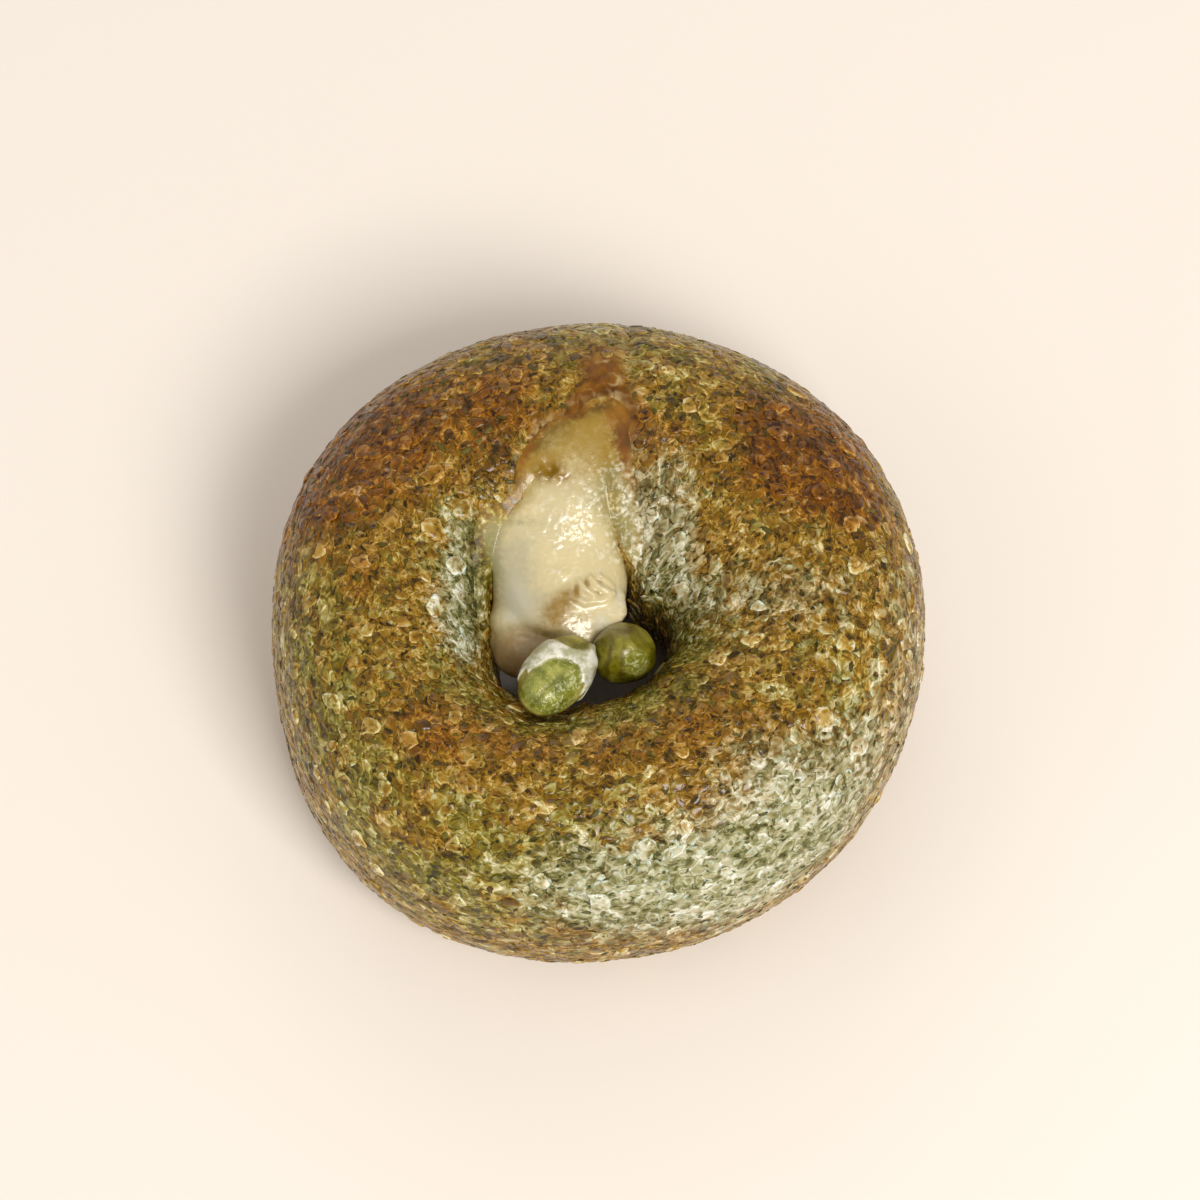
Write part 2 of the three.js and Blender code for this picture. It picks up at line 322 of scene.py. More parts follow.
# %% The tree of the ring: the section's superellipse
level, steep = add(ring_tree, "COSINE", across), add(ring_tree, "SINE", across)
on_top = add(ring_tree, "GREATER_THAN", steep, 0.0)
fuller = add(ring_tree, "SUBTRACT", size["Top fullness"], size["Base fullness"])
fullness = add(ring_tree, "MULTIPLY_ADD", on_top, fuller, size["Base fullness"])
corner = add(
    ring_tree,
    "ADD",
    add(ring_tree, "POWER", add(ring_tree, "ABSOLUTE", level), fullness),
    add(ring_tree, "POWER", add(ring_tree, "ABSOLUTE", steep), fullness),
)
stretch = add(ring_tree, "POWER", corner, add(ring_tree, "DIVIDE", -1.0, fullness))
below = add(ring_tree, "ADD", size["Widest at"], size["Base sink"])
above = add(ring_tree, "SUBTRACT", size["Height"], size["Widest at"])
rise = add(ring_tree, "MULTIPLY_ADD", on_top, add(ring_tree, "SUBTRACT", above, below), below)
out_share = add(ring_tree, "MULTIPLY", add(ring_tree, "MULTIPLY", level, stretch), 0.5)
up = add(ring_tree, "MULTIPLY", add(ring_tree, "MULTIPLY", steep, stretch), rise)
height = add(ring_tree, "ADD", up, size["Widest at"])
middle = add(ring_tree, "ShaderNodeVectorMath", outer, inner, operation="ADD")
middle = add(ring_tree, "ShaderNodeVectorMath", middle, 0.5, operation="SCALE")
reach = add(ring_tree, "ShaderNodeVectorMath", outer, inner, operation="SUBTRACT")
reach = add(ring_tree, "ShaderNodeVectorMath", reach, out_share, operation="SCALE")
plan = add(ring_tree, "ShaderNodeVectorMath", middle, reach, operation="ADD")
smooth_place = add(
    ring_tree,
    "ShaderNodeVectorMath",
    plan,
    add(ring_tree, "ShaderNodeCombineXYZ", 0.0, 0.0, height),
    operation="ADD",
)
rope = add(ring_tree, "GeometryNodeSetPosition", {"Geometry": marked, "Position": smooth_place})
rope = add(ring_tree, "GeometryNodeMergeByDistance", {"Geometry": rope, "Distance": SAME_POINT})

# %% [markdown]
# The same tree then gives the rope its relief: slow swells, puckers that gather towards the hole, the seam, the
# sunken place of the burst and the beds of the beans. Each is a height along the skin's own direction, so they
# can simply be added up. Last comes a fine grain of flattened cells, which are the gas blisters of the skin.

# %% The tree of the ring: its relief
skin = add(ring_tree, "GeometryNodeInputNamedAttribute", "skin", data_type="FLOAT_VECTOR")
drum = add(ring_tree, "ShaderNodeSeparateXYZ", skin).outputs
around = add(ring_tree, "ARCTAN2", drum["Y"], drum["X"])
across = add(ring_tree, "DIVIDE", drum["Z"], ROPE_RADIUS)
place = add(ring_tree, "GeometryNodeInputPosition")
at = add(ring_tree, "ShaderNodeSeparateXYZ", place).outputs
relief = 0.0
for round_ring, over_rope, start in SWELL_WAVES:
    angle = add(ring_tree, "MULTIPLY_ADD", around, float(round_ring), float(start))
    angle = add(ring_tree, "MULTIPLY_ADD", across, float(over_rope), angle)
    relief = add(ring_tree, "MULTIPLY_ADD", add(ring_tree, "SINE", angle), size["Swell"], relief)

towards_hole = add(ring_tree, "MAXIMUM", add(ring_tree, "MULTIPLY", add(ring_tree, "COSINE", across), -1.0), 0.0)
near_hole = add(ring_tree, "MULTIPLY", add(ring_tree, "POWER", towards_hole, 2.0), size["Pucker"])
for step, count in enumerate(PUCKERS):
    fold = add(ring_tree, "COSINE", add(ring_tree, "MULTIPLY_ADD", around, float(count), 2.0 * step))
    fold = add(ring_tree, "MULTIPLY", fold, 1 / len(PUCKERS))
    relief = add(ring_tree, "MULTIPLY_ADD", fold, near_hole, relief)

# %% The tree of the ring: seam, burst and pressed places
from_seam = add(ring_tree, "SUBTRACT", at["X"], SEAM["x"])
bell = add(ring_tree, "POWER", add(ring_tree, "DIVIDE", from_seam, SEAM["half_width"]), 2.0)
bell = add(ring_tree, "EXPONENT", add(ring_tree, "MULTIPLY", bell, -1.0))
left_of_seam = add(ring_tree, "LESS_THAN", from_seam, 0.0)
fading = add(ring_tree, "EXPONENT", add(ring_tree, "DIVIDE", from_seam, SEAM["step_reach"]))
sunk = add(ring_tree, "MULTIPLY", add(ring_tree, "MULTIPLY", left_of_seam, fading), SEAM["step"])
sunk = add(ring_tree, "MULTIPLY_ADD", bell, SEAM["depth"], sunk)
for axis, start, end in SEAM_FADES_IN:
    within = {"Value": at[axis], "From Min": start, "From Max": end}
    sunk = add(
        ring_tree, "MULTIPLY", sunk, add(ring_tree, "ShaderNodeMapRange", within, interpolation_type="SMOOTHSTEP")
    )
relief = add(ring_tree, "SUBTRACT", relief, sunk)

spans = [("X", BURST["x"], BURST["half_width"]), ("Y", BURST["y"], BURST["half_depth"])]
apart = [add(ring_tree, "DIVIDE", add(ring_tree, "SUBTRACT", at[axis], mid), half) for axis, mid, half in spans]
apart = add(ring_tree, "ADD", *[add(ring_tree, "POWER", share, 2.0) for share in apart])
hollow = add(ring_tree, "EXPONENT", add(ring_tree, "MULTIPLY", apart, -1.0))
upper = add(
    ring_tree,
    "ShaderNodeMapRange",
    {"Value": at["Z"], **BURST_FADES_IN},
    interpolation_type="SMOOTHSTEP",
)
relief = add(
    ring_tree, "MULTIPLY_ADD", add(ring_tree, "MULTIPLY", hollow, upper), -BURST["depth"], relief
)
for centre, spread, swell in PLACES.values():
    apart = add(ring_tree, "ShaderNodeVectorMath", place, centre, operation="DISTANCE")
    apart = add(ring_tree, "POWER", add(ring_tree, "DIVIDE", apart.outputs["Value"], spread), 2.0)
    bell = add(ring_tree, "EXPONENT", add(ring_tree, "MULTIPLY", apart, -1.0))
    relief = add(ring_tree, "MULTIPLY_ADD", bell, swell, relief)

# %% The tree of the ring: grain, flat base and millimetres to metres
# Cells 2.4 mm apart stand about 0.1 mm high, and slower lumps 7 mm apart lie under them
CELL = 2.4
LUMP = 7.0
LUMP_SHARE = 2.5
cells = add(
    ring_tree, "ShaderNodeTexVoronoi", {"Vector": skin, "Scale": 1 / CELL, "Smoothness": 0.3}, feature="SMOOTH_F1"
)
lumps = add(ring_tree, "ShaderNodeTexNoise", {"Vector": skin, "Scale": 1 / LUMP, "Detail": 2.0})
dome = add(ring_tree, "SUBTRACT", 0.45, cells)
lump = add(ring_tree, "SUBTRACT", lumps, 0.5)
texture = add(ring_tree, "MULTIPLY_ADD", lump, LUMP_SHARE, dome)
relief = add(ring_tree, "MULTIPLY_ADD", texture, size["Grain height"], relief)
outwards = add(
    ring_tree, "ShaderNodeVectorMath", add(ring_tree, "GeometryNodeInputNormal"), relief, operation="SCALE"
)
rope = add(ring_tree, "GeometryNodeSetPosition", {"Geometry": rope, "Offset": outwards})
moved = add(ring_tree, "ShaderNodeSeparateXYZ", add(ring_tree, "GeometryNodeInputPosition")).outputs
resting = add(ring_tree, "ShaderNodeCombineXYZ", moved["X"], moved["Y"], add(ring_tree, "MAXIMUM", moved["Z"], 0.0))
placed = add(ring_tree, "ShaderNodeVectorMath", resting, ORIGIN, operation="ADD")
metres = add(ring_tree, "ShaderNodeVectorMath", placed, MM, operation="SCALE")
rope = add(ring_tree, "GeometryNodeSetPosition", {"Geometry": rope, "Position": metres})
rope = add(ring_tree, "GeometryNodeSetShadeSmooth", {"Geometry": rope})
ring_tree.links.new(rope.outputs[0], result.inputs[0])
crust = grow("crust", ring_tree, ROPE)
print("nodes in the tree:", len(ring_tree.nodes))

# %% [markdown]
# ## Where the crust is brown and where it is pale
# The oven browns what stands highest and what faces its hot side, and leaves the walls of the hole and the low
# front pale and green. Where a wall turns in, and beside the cheese on the left, the crust is darkened with painted
# shade. Round the burst the filling ran out thinly over the crust, and baked golden at the top. Each tint is kept
# on the points of the mesh as a number from 0 to 1, the sum of soft round patches, so everything scattered on the
# crust can read the same tint later. A painted picture could do the same, but it would have to be stored beside the
# file.


# %% Paint tints on a piece
def points_of(piece):
    """The places of a piece's points, in millimetres."""
    flat = np.empty(len(piece.data.vertices) * 3, np.float32)
    piece.data.vertices.foreach_get("co", flat)
    return flat.reshape(-1, 3).astype(float) / MM


def keep(piece, name, amounts):
    """Stores one number from 0 to 1 for each point of a piece."""
    attribute = piece.data.attributes.new(name, "FLOAT", "POINT")
    attribute.data.foreach_set("value", np.clip(amounts, 0, 1).astype(np.float32))
    print(f"{piece.name}: {name} is {np.mean(np.clip(amounts, 0, 1)):.2f} on average")


def patches(places, spots):
    """How much of a tint each place gets from soft round spots: middle, reach and strength."""
    amount = np.zeros(len(places))
    for centre, spread, strength in spots:
        apart = np.linalg.norm((places - centre) / spread, axis=1)
        amount += strength * np.exp(-(apart**2))
    return amount


BROWNED = [
    ((-38, 19, 41), 12, 0.9),
    ((-33, 27, 41), 9, 0.7),
    ((-43, 22, 30), 12, 0.8),
    ((-15, 40, 38), 14, 0.3),
    ((-15, 27, 44), 8, 0.6),
    ((-35, -2, 43), 6, 0.35),
    ((31, 19, 44), 8, 1.0),
    ((5, 25, 44.5), (3, 3.4, 4), 0.7),
    ((10.5, 24, 44), (5, 7, 5), 0.4),
    ((38, 14, 43), 7, 0.8),
    ((27, 24, 43), 8, 0.6),
    ((38, 28, 32), 13, 0.5),
    ((17, -20, 45), (8, 6, 6), 0.38),
    ((6, -27, 45), (12, 5, 6), 0.35),
    ((-12, -26, 45), (9, 4, 6), 0.4),
    ((-24, -24, 45), (9, 8, 6), 0.45),
]
PALE = [
    ((4, -45, 33), (17, 6, 14), 0.9),
    ((20, -41, 32), (11, 7, 14), 1.0),
    ((32, -33, 32), (9, 8, 14), 0.8),
    ((38, -23, 33), (8, 8, 12), 0.45),
    ((24, -29, 42), (8, 5.5, 6), 0.42),
    ((11, 9, 40), (5, 9, 6), 0.52),
    ((6, 13.5, 39.5), (3, 7, 5), 0.42),
    ((14, -1, 37), (7, 6, 6), 0.45),
    ((8.5, 3, 34), (4, 5, 7), 0.4),
    ((11, 17, 42.5), (5, 6, 6), 0.2),
    ((24, -2, 44), (10, 6, 6), 0.3),
    ((-20.4, -1, 38.5), (5, 7, 7), 0.6),
    ((-20.5, -7.5, 38), 5, 0.6),
    ((-21, 8, 41), (3.5, 6, 5), 0.45),
    ((46, -8, 30), (7, 16, 12), 0.4),
    ((33, -4, 42), (8, 8, 6), 0.25),
]
# Seaweed greens the dough most round the hole, low at the front and on the left
GREENED = [
    ((-5, -22, 42), (10, 5, 6), 0.8),
    ((8, -19, 41), (7, 5, 6), 0.7),
    ((-20, -14, 42), (7, 8, 8), 0.5),
    ((15, -6, 40), (7, 7, 8), 0.7),
    ((10, 22, 44), (4.5, 9, 5), 0.55),
    ((-20, 5, 41), (5, 9, 6), 1.0),
    ((-17.5, 1, 36.5), (3, 8, 4), 0.9),
    ((-42, -8, 38), (8, 14, 12), 0.6),
    ((-36, -26, 36), (9, 10, 10), 0.7),
    ((-6, -44, 36), (32, 8, 12), 1.0),
    ((11, -8, 30), (7, 7, 8), 0.7),
    ((9, 2, 33), (5, 6, 8), 0.8),
    ((36, -16, 42), (8, 10, 8), 0.5),
    ((0, 42, 36), (30, 10, 12), 0.4),
]
# Where the thin filling baked golden
GOLDEN = [
    ((-1.9, 26, 44.2), (7, 4, 5), 1.0),
    ((-3, 21.2, 43.1), (7, 3.4, 4), 0.38),
    ((4.6, 24.5, 44), (3, 4, 4), 0.8),
    ((-11.5, 20.5, 43), (3, 4, 4), 0.8),
]
# Painted shade: the crust is darkened where the wall of the hole turns in, and beside the cheese on the left
PAINTED_SHADE_SPOTS = [
    ((9, -13, 37), (3.6, 4, 6), 1.0),
    ((4.5, -15, 36), (4.5, 3, 5), 0.7),
    ((-18, 3, 38), (2.6, 9, 5), 0.75),
    ((-17.3, 1, 36), (2.2, 6, 3.5), 0.55),
    ((-13.5, 18.5, 42.5), (4, 5, 4), 0.45),
]
# The smooth skin left of the seam, over which the filling ran
FILM = [
    ((0.5, 34, 44.5), (3.6, 6, 5), 0.8),
    ((1, 27, 44), (4.5, 4, 4), 1.0),
    ((-3, 24.5, 43.5), (5.5, 3.5, 4), 0.7),
]
# Where it spread thinly beyond the cheese's solid
SPREAD = [
    ((-2.5, 22.6, 43.5), (4, 1.9, 4), 0.7),
    ((2, 19.5, 43), (2.7, 3.6, 4), 0.9),
    ((3, 14, 40), (2.4, 4, 4), 0.8),
    ((5, 9, 37), (2, 4.5, 4), 0.9),
    ((-10, 19, 42), (2.5, 2.5, 4), 0.4),
    ((-16.8, 8, 39.5), (1.8, 6, 4), 0.65),
    ((-17, 0, 36.5), (1.8, 6, 5), 0.5),
    ((1, 26.2, 44.2), (3.2, 2.8, 4), 0.85),
    ((-5, 24.6, 44), (3, 1.7, 4), 0.5),
]
# Here it lies thicker, between the flank of the cheese and the crust
HEAPED = [
    ((3.4, 12, 38.4), (2.4, 6, 5), 0.7),
    ((-16.2, 5, 37.5), (2.2, 8, 5), 0.5),
    ((0, 26, 44.2), (4.5, 1.7, 4), 0.6),
    ((-7.5, 23.2, 43.4), (4, 1.8, 4), 0.25),
]
# It also covers the crust within this many millimetres of the cheese, but only above FADE_LOW and in front of
# FADE_BACK, so that it doesn't follow the cheese down the walls of the hole
SPREAD_REACH = 2.2
FADE_LOW, FADE_HEIGHT = 37, 5
FADE_BACK, FADE_DEPTH = 25.8, 3.3
NEAR_CHEESE = ((-25, -5, 26), (14, 36, 50))
# Whey soaked the crust here and left it shiny
WET = [((5, 10, 37.5), (4, 8, 6), 1.0), ((8, 18, 42), (4, 6, 5), 0.6), ((2, 24, 43.5), (6, 5, 4), 0.5)]

depsgraph = bpy.context.evaluated_depsgraph_get()
cheese_solid = BVHTree.FromObject(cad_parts["cheese"], depsgraph)
skin_places = points_of(crust)
from_cheese = np.full(len(skin_places), np.inf)
low_corner, high_corner = NEAR_CHEESE
for index in np.flatnonzero(np.all((skin_places > low_corner) & (skin_places < high_corner), axis=1)):
    from_cheese[index] = cheese_solid.find_nearest(Vector(skin_places[index]) * MM)[3] / MM
in_reach = np.clip((skin_places[:, 2] - FADE_LOW) / FADE_HEIGHT, 0, 1)
in_reach *= np.clip((FADE_BACK - skin_places[:, 1]) / FADE_DEPTH, 0, 1)
cover = np.minimum(in_reach * np.exp(-((from_cheese / SPREAD_REACH) ** 2)) + patches(skin_places, SPREAD), 1)
film = np.minimum(patches(skin_places, FILM) + cover, 1)
DOUGH_TINTS = {"browned": BROWNED, "pale": PALE, "greened": GREENED, "painted_shade": PAINTED_SHADE_SPOTS}
for name, spots in {**DOUGH_TINTS, "golden": GOLDEN, "wet": WET}.items():
    keep(crust, name, patches(skin_places, spots))
keep(crust, "film", film)
keep(crust, "creamy", cover)

# %% Lay the film: the skin is smoothed and thickened where the filling was baked on
FILM_THICKNESS = 0.25 * MM
THINNEST_FILM = 0.03
group = crust.vertex_groups.new(name="film")
for index in np.flatnonzero(film > THINNEST_FILM):
    group.add([int(index)], float(min(film[index], 1)), "REPLACE")
smoothing = crust.modifiers.new("Smooth film", "SMOOTH")
smoothing.vertex_group = group.name
smoothing.factor = 0.8
smoothing.iterations = 30
thickening = crust.modifiers.new("Thickness of the film", "DISPLACE")
thickening.vertex_group = group.name
thickening.strength = FILM_THICKNESS
thickening.mid_level = 0
depsgraph = bpy.context.evaluated_depsgraph_get()
filmed = bpy.data.meshes.new_from_object(
    crust.evaluated_get(depsgraph), preserve_all_data_layers=True, depsgraph=depsgraph
)
crust.modifiers.clear()
crust.vertex_groups.clear()
crust.data = filmed
report(crust)

# %% [markdown]
# ## The baked crust
# A bagel is boiled before it is baked. Its skin sets as a thin, half clear layer full of tiny flat gas blisters,
# with dark green bits of seaweed under and between them. That gives the eye pale flakes with thin bright rims,
# small dark strokes where the skin sank between them, and wet glints. The bright rims are painted light, standing
# in for light that shines through the clear edges. The flakes are a Voronoi pattern on the unrolled skin, bent by
# noise so that no two are alike, and slow noise shifts the hue from tan to olive. A sharp picture of real crust
# would look as rich, but it would repeat or stretch somewhere on the ring.

# %% Helpers for colours
def blend(factor, low, high):
    """Mixes two colours, given as sRGB hex or as sockets."""
    colours = [linear(colour) if isinstance(colour, str) else colour for colour in (low, high)]
    return add(tree, "ShaderNodeMix", factor, *colours, data_type="RGBA")


def between(value, low, high):
    """Turns a value into a soft step from 0 at low to 1 at high."""
    limits = {"Value": value, "From Min": low, "From Max": high}
    return add(tree, "ShaderNodeMapRange", limits, interpolation_type="SMOOTHSTEP")


def shades(value, stops):
    """Runs a value from 0 to 1 through a row of sRGB hex colours."""
    ramp = add(tree, "ShaderNodeValToRGB", value)
    while len(ramp.color_ramp.elements) < len(stops):
        ramp.color_ramp.elements.new(0.5)
    for element, (position, colour) in zip(ramp.color_ramp.elements, sorted(stops.items())):
        element.position = position
        element.color = linear(colour)
    return ramp


def tints(*names):
    """Reads numbers that are kept on a piece's points."""
    return {name: add(tree, "ShaderNodeAttribute", attribute_name=name).outputs["Fac"] for name in names}


def weigh(start, *terms):
    """Adds up amounts: each is a socket, how much of it counts, and the value at which it counts for nothing."""
    total = start
    for value, share, middle in terms:
        total = add(tree, "MULTIPLY_ADD", value, share, add(tree, "ADD", total, -share * middle))
    return total


# %% Colours of the baked skin
# Each row of colours runs from the dark strokes at 0 to the bright rims of the flakes at 1
TAN = {0.0: "#332401", 0.25: "#674903", 0.5: "#926c12", 0.75: "#bf9e4e", 1.0: "#ecdfab"}
OLIVE = {0.0: "#2e2a02", 0.25: "#594f04", 0.5: "#82731a", 0.75: "#b3a75b", 1.0: "#e8e2b6"}
TOAST = {0.0: "#371c00", 0.25: "#613800", 0.5: "#834f00", 0.75: "#ac7618", 1.0: "#dab569"}
GREEN_WHITE = {0.0: "#434217", 0.25: "#7f7d49", 0.5: "#b4b08a", 0.75: "#dad9c4", 1.0: "#fcfbf4"}
BROWN_FILM = {0.2: "#543103", 0.5: "#784904", 0.8: "#9c6c14"}
# The hue drifts from tan to olive and back over about this many millimetres
DRIFT = 5.0


def baked_skin(skin, light, ragged):
    """Gives the dough's colour at a place on the unrolled skin, from dark at light 0 to pale at 1."""
    tint = tints("browned", "pale", "greened", "painted_shade")
    drift = add(tree, "ShaderNodeTexNoise", {"Vector": skin, "Scale": 1 / DRIFT, "Detail": 4.0, "Roughness": 0.65})
    olive = between(weigh(0.0, (drift, 1.4, 0.5), (tint["greened"], 0.4, 0.0), (ragged, 0.8, 0.0)), 0.0, 0.35)
    browned = between(weigh(0.0, (tint["browned"], 1.0, 0.0), (drift, -0.8, 0.5), (ragged, 1.0, 0.0)), 0.05, 0.8)
    paled = between(weigh(0.0, (tint["pale"], 1.0, 0.0), (drift, 0.6, 0.5), (ragged, 1.0, 0.0)), 0.1, 0.9)
    # The painted shade in the hole and beside the cheese darkens the skin here
    light = weigh(light, (tint["browned"], -0.12, 0.0), (tint["painted_shade"], -0.4, 0.0))
    body = blend(olive, shades(light, TAN), shades(light, OLIVE))
    body = blend(browned, body, shades(light, TOAST))
    return blend(paled, body, shades(light, GREEN_WHITE))


# %% Material of the crust: flakes, rims and dark strokes
# Widths on the skin, in millimetres. Light enters the half clear skin about 1 mm deep.
FLAKE = 1.9
PIT = 1.5
BEND = 1.6
STROKE = 1.3
CLOUD = 3.0
WEED = 1.6
crust_material, tree, shader = new_material(
    "Boiled_and_baked_seaweed_dough",
    IOR=1.45,
    Specular_IOR_Level=0.28,
    Subsurface_Weight=0.15,
    Subsurface_Scale=MM,
    Coat_Roughness=0.1,
)
skin = add(tree, "ShaderNodeAttribute", attribute_name="skin").outputs["Vector"]
bend = add(tree, "ShaderNodeTexNoise", {"Vector": skin, "Scale": 1 / BEND, "Detail": 0.5}).outputs["Color"]
bend = add(tree, "ShaderNodeVectorMath", bend, (0.5, 0.5, 0.5), operation="SUBTRACT")
bend = add(tree, "ShaderNodeVectorMath", bend, 2.0, operation="SCALE")
bent = add(tree, "ShaderNodeVectorMath", skin, bend, operation="ADD")
flakes = add(tree, "ShaderNodeTexVoronoi", {"Vector": bent, "Scale": 1 / FLAKE})
edges = add(tree, "ShaderNodeTexVoronoi", {"Vector": bent, "Scale": 1 / FLAKE}, feature="DISTANCE_TO_EDGE")
chance = add(tree, "ShaderNodeSeparateXYZ", flakes.outputs["Color"]).outputs
flaky = {"Vector": bent, "Scale": 1 / FLAKE, "Detail": 1.2, "Roughness": 0.5, "Distortion": 0.6}
flaky = add(tree, "ShaderNodeTexNoise", flaky)
strokes = {"Vector": skin, "Scale": 1 / STROKE, "Detail": 0.5, "Roughness": 0.5, "Distortion": 1.2}
strokes = add(tree, "ShaderNodeTexNoise", strokes)
pits = add(tree, "ShaderNodeTexVoronoi", {"Vector": bent, "Scale": 1 / PIT})
pitted = between(add(tree, "ShaderNodeSeparateXYZ", pits.outputs["Color"]).outputs["X"], 0.5, 0.55)
pit = add(tree, "MULTIPLY", pitted, between(pits.outputs["Distance"], 0.34, 0.16))
slow = add(tree, "ShaderNodeTexNoise", {"Vector": skin, "Scale": 1 / CLOUD, "Detail": 3.0})
# Painted light: some flakes get a thin paler rim, standing in for light shining through their clear edge
rim = add(tree, "MULTIPLY", between(edges, 0.02, 0.07), between(edges, 0.2, 0.1))
rim = add(tree, "MULTIPLY", rim, between(chance["Y"], 0.1, 0.5))
gap = add(tree, "MULTIPLY", between(edges, 0.05, 0.01), between(chance["Z"], 0.45, 0.7))
stroke = between(strokes, 0.44, 0.36)
hair = between(add(tree, "ABSOLUTE", add(tree, "SUBTRACT", strokes, 0.56)), 0.02, 0.005)
# From 0 in a dark stroke to 1 on a bright rim: each pattern adds its share to the middle, or takes it away
light = weigh(0.44, (flaky, 1.0, 0.5), (chance["X"], 0.2, 0.5), (slow, 0.9, 0.5), (pit, -0.4, 0.0))
light = weigh(light, (rim, 0.22, 0.0), (hair, 0.16, 0.0), (gap, -0.08, 0.0), (stroke, -0.2, 0.0))
ragged = add(tree, "MULTIPLY_ADD", flaky, 1.0, -0.5)
body = baked_skin(skin, light, ragged)

# %% Material of the crust: seaweed in the skin, and the film
weed = add(tree, "ShaderNodeTexVoronoi", {"Vector": bent, "Scale": 1 / WEED})
chosen = between(add(tree, "ShaderNodeSeparateXYZ", weed.outputs["Color"]).outputs["Y"], 0.72, 0.76)
weed = add(tree, "MULTIPLY", chosen, between(weed.outputs["Distance"], 0.45, 0.25))
tint = tints("film", "creamy", "golden", "painted_shade")
# Where shade is painted, less of the film and its cream covers the skin, so the darkened skin shows
covered = weigh(0.0, (tint["film"], 1.0, 0.0), (tint["painted_shade"], -0.9, 0.0), (ragged, 1.2, 0.0))
covered = between(covered, 0.1, 0.7)
weed = add(tree, "MULTIPLY", weed, weigh(0.6, (covered, -0.6, 0.0)))
speckled = blend(weed, body, blend(chance["Z"], "#332f0c", "#5d5a1e"))
baked_film = shades(weigh(0.5, (slow, 1.6, 0.5), (flaky, 0.5, 0.5)), BROWN_FILM)
creamy = blend(tint["golden"], shades(flaky, {0.3: "#bfae72", 0.6: "#dccb97"}), "#785009")
creamed = between(weigh(0.0, (tint["creamy"], 1.0, 0.0), (tint["painted_shade"], -0.6, 0.0), (ragged, 1.0, 0.0)), 0.05, 0.5)
baked_film = blend(creamed, baked_film, creamy)
colour = blend(covered, speckled, baked_film)
tree.links.new(colour.outputs["Result"], shader.inputs["Base Color"])

flake_dome = between(edges, 0.0, 0.45)
swelling = weigh(0.0, (flaky, 0.6, 0.5), (flake_dome, 0.6, 0.0), (stroke, -0.3, 0.0), (pit, -0.5, 0.0))
swelling = add(tree, "MULTIPLY", swelling, weigh(1.0, (tint["film"], -0.8, 0.0)))
bump = add(tree, "ShaderNodeBump", {"Strength": 1.0, "Distance": 0.35 * MM, "Height": swelling})
tree.links.new(bump.outputs[0], shader.inputs["Normal"])
roughness = weigh(0.3, (flaky, 0.5, 0.5), (stroke, 0.2, 0.0))
tree.links.new(roughness.outputs[0], shader.inputs["Roughness"])
tree.links.new(tints("wet")["wet"], shader.inputs["Coat Weight"])
tree.links.new(bump.outputs[0], shader.inputs["Coat Normal"])
crust.data.materials.clear()
crust.data.materials.append(crust_material)
print("nodes in the crust's material:", len(tree.nodes))

# %% [markdown]
# ## Blisters and seaweed that stand on the crust
# The larger blisters and the flakes of seaweed have edges of their own, which catch the light. They are small
# solids, flat as lentils, scattered over the skin by a tree: points at least one spacing apart, a lentil on each,
# turned and stretched at random, then made one mesh and roughened. A number kept on each lentil says how far a
# point is from its middle, so that the rim can be painted paler than the middle: painted light, standing in for the
# light that shines through a real blister's thin edge.

# %% The tree that scatters lentils
# A lentil has a few dozen faces. Its thickness is a share of its width, and Share thins out the scatter.
LENTIL = {
    "Corners": 7,
    "Rings": 4,
    "Spacing": 1.8 * MM,
    "Smallest": 0.45 * MM,
    "Largest": 1.1 * MM,
    "Longest": 2.0,
    "Thickness": 0.16,
    "Lift": -0.02 * MM,
    "Ragged": 1.3 * MM,
    "Ragged width": 0.9 * MM,
    "Share": 1.0,
    "Seed": 3,
}
# None lie lower than this, where the bagel rests
BARE_FOOT = 2.5 * MM
scatter_tree, given, result = open_tree("Scatter lentils on a skin", {**LENTIL, "Material": crust_material})
size = given.outputs
height = add(scatter_tree, "ShaderNodeSeparateXYZ", add(scatter_tree, "GeometryNodeInputPosition")).outputs["Z"]
film = add(scatter_tree, "GeometryNodeInputNamedAttribute", "film", data_type="FLOAT")
bare = add(scatter_tree, "MULTIPLY_ADD", film, -1.6, 1.0, use_clamp=True)
spread = {
    "Mesh": size["Geometry"],
    "Selection": add(scatter_tree, "GREATER_THAN", height, BARE_FOOT),
    "Distance Min": size["Spacing"],
    "Density Max": add(scatter_tree, "DIVIDE", 1.3, add(scatter_tree, "POWER", size["Spacing"], 2.0)),
    "Density Factor": add(scatter_tree, "MULTIPLY", size["Share"], bare),
    "Seed": size["Seed"],
}
points = add(scatter_tree, "GeometryNodeDistributePointsOnFaces", spread, distribute_method="POISSON").outputs
lift = add(scatter_tree, "ShaderNodeVectorMath", points["Normal"], size["Lift"], operation="SCALE")
lifted = add(scatter_tree, "GeometryNodeSetPosition", {"Geometry": points["Points"], "Offset": lift})
kept = {"Geometry": lifted, "Name": "up", "Value": points["Normal"]}
lifted = add(scatter_tree, "GeometryNodeStoreNamedAttribute", kept, data_type="FLOAT_VECTOR")
lentil = add(scatter_tree, "GeometryNodeMeshUVSphere", size["Corners"], size["Rings"], 1.0)
rim = add(scatter_tree, "ShaderNodeVectorMath", add(scatter_tree, "GeometryNodeInputPosition"), (1.0, 1.0, 0.0))
rim.operation = "MULTIPLY"
rim = add(scatter_tree, "ShaderNodeVectorMath", rim, operation="LENGTH").outputs["Value"]
lentil = add(
    scatter_tree, "GeometryNodeStoreNamedAttribute", {"Geometry": lentil, "Name": "rim", "Value": rim}
)
girth = add(scatter_tree, "FunctionNodeRandomValue", {"Min": size["Smallest"], "Max": size["Largest"]})
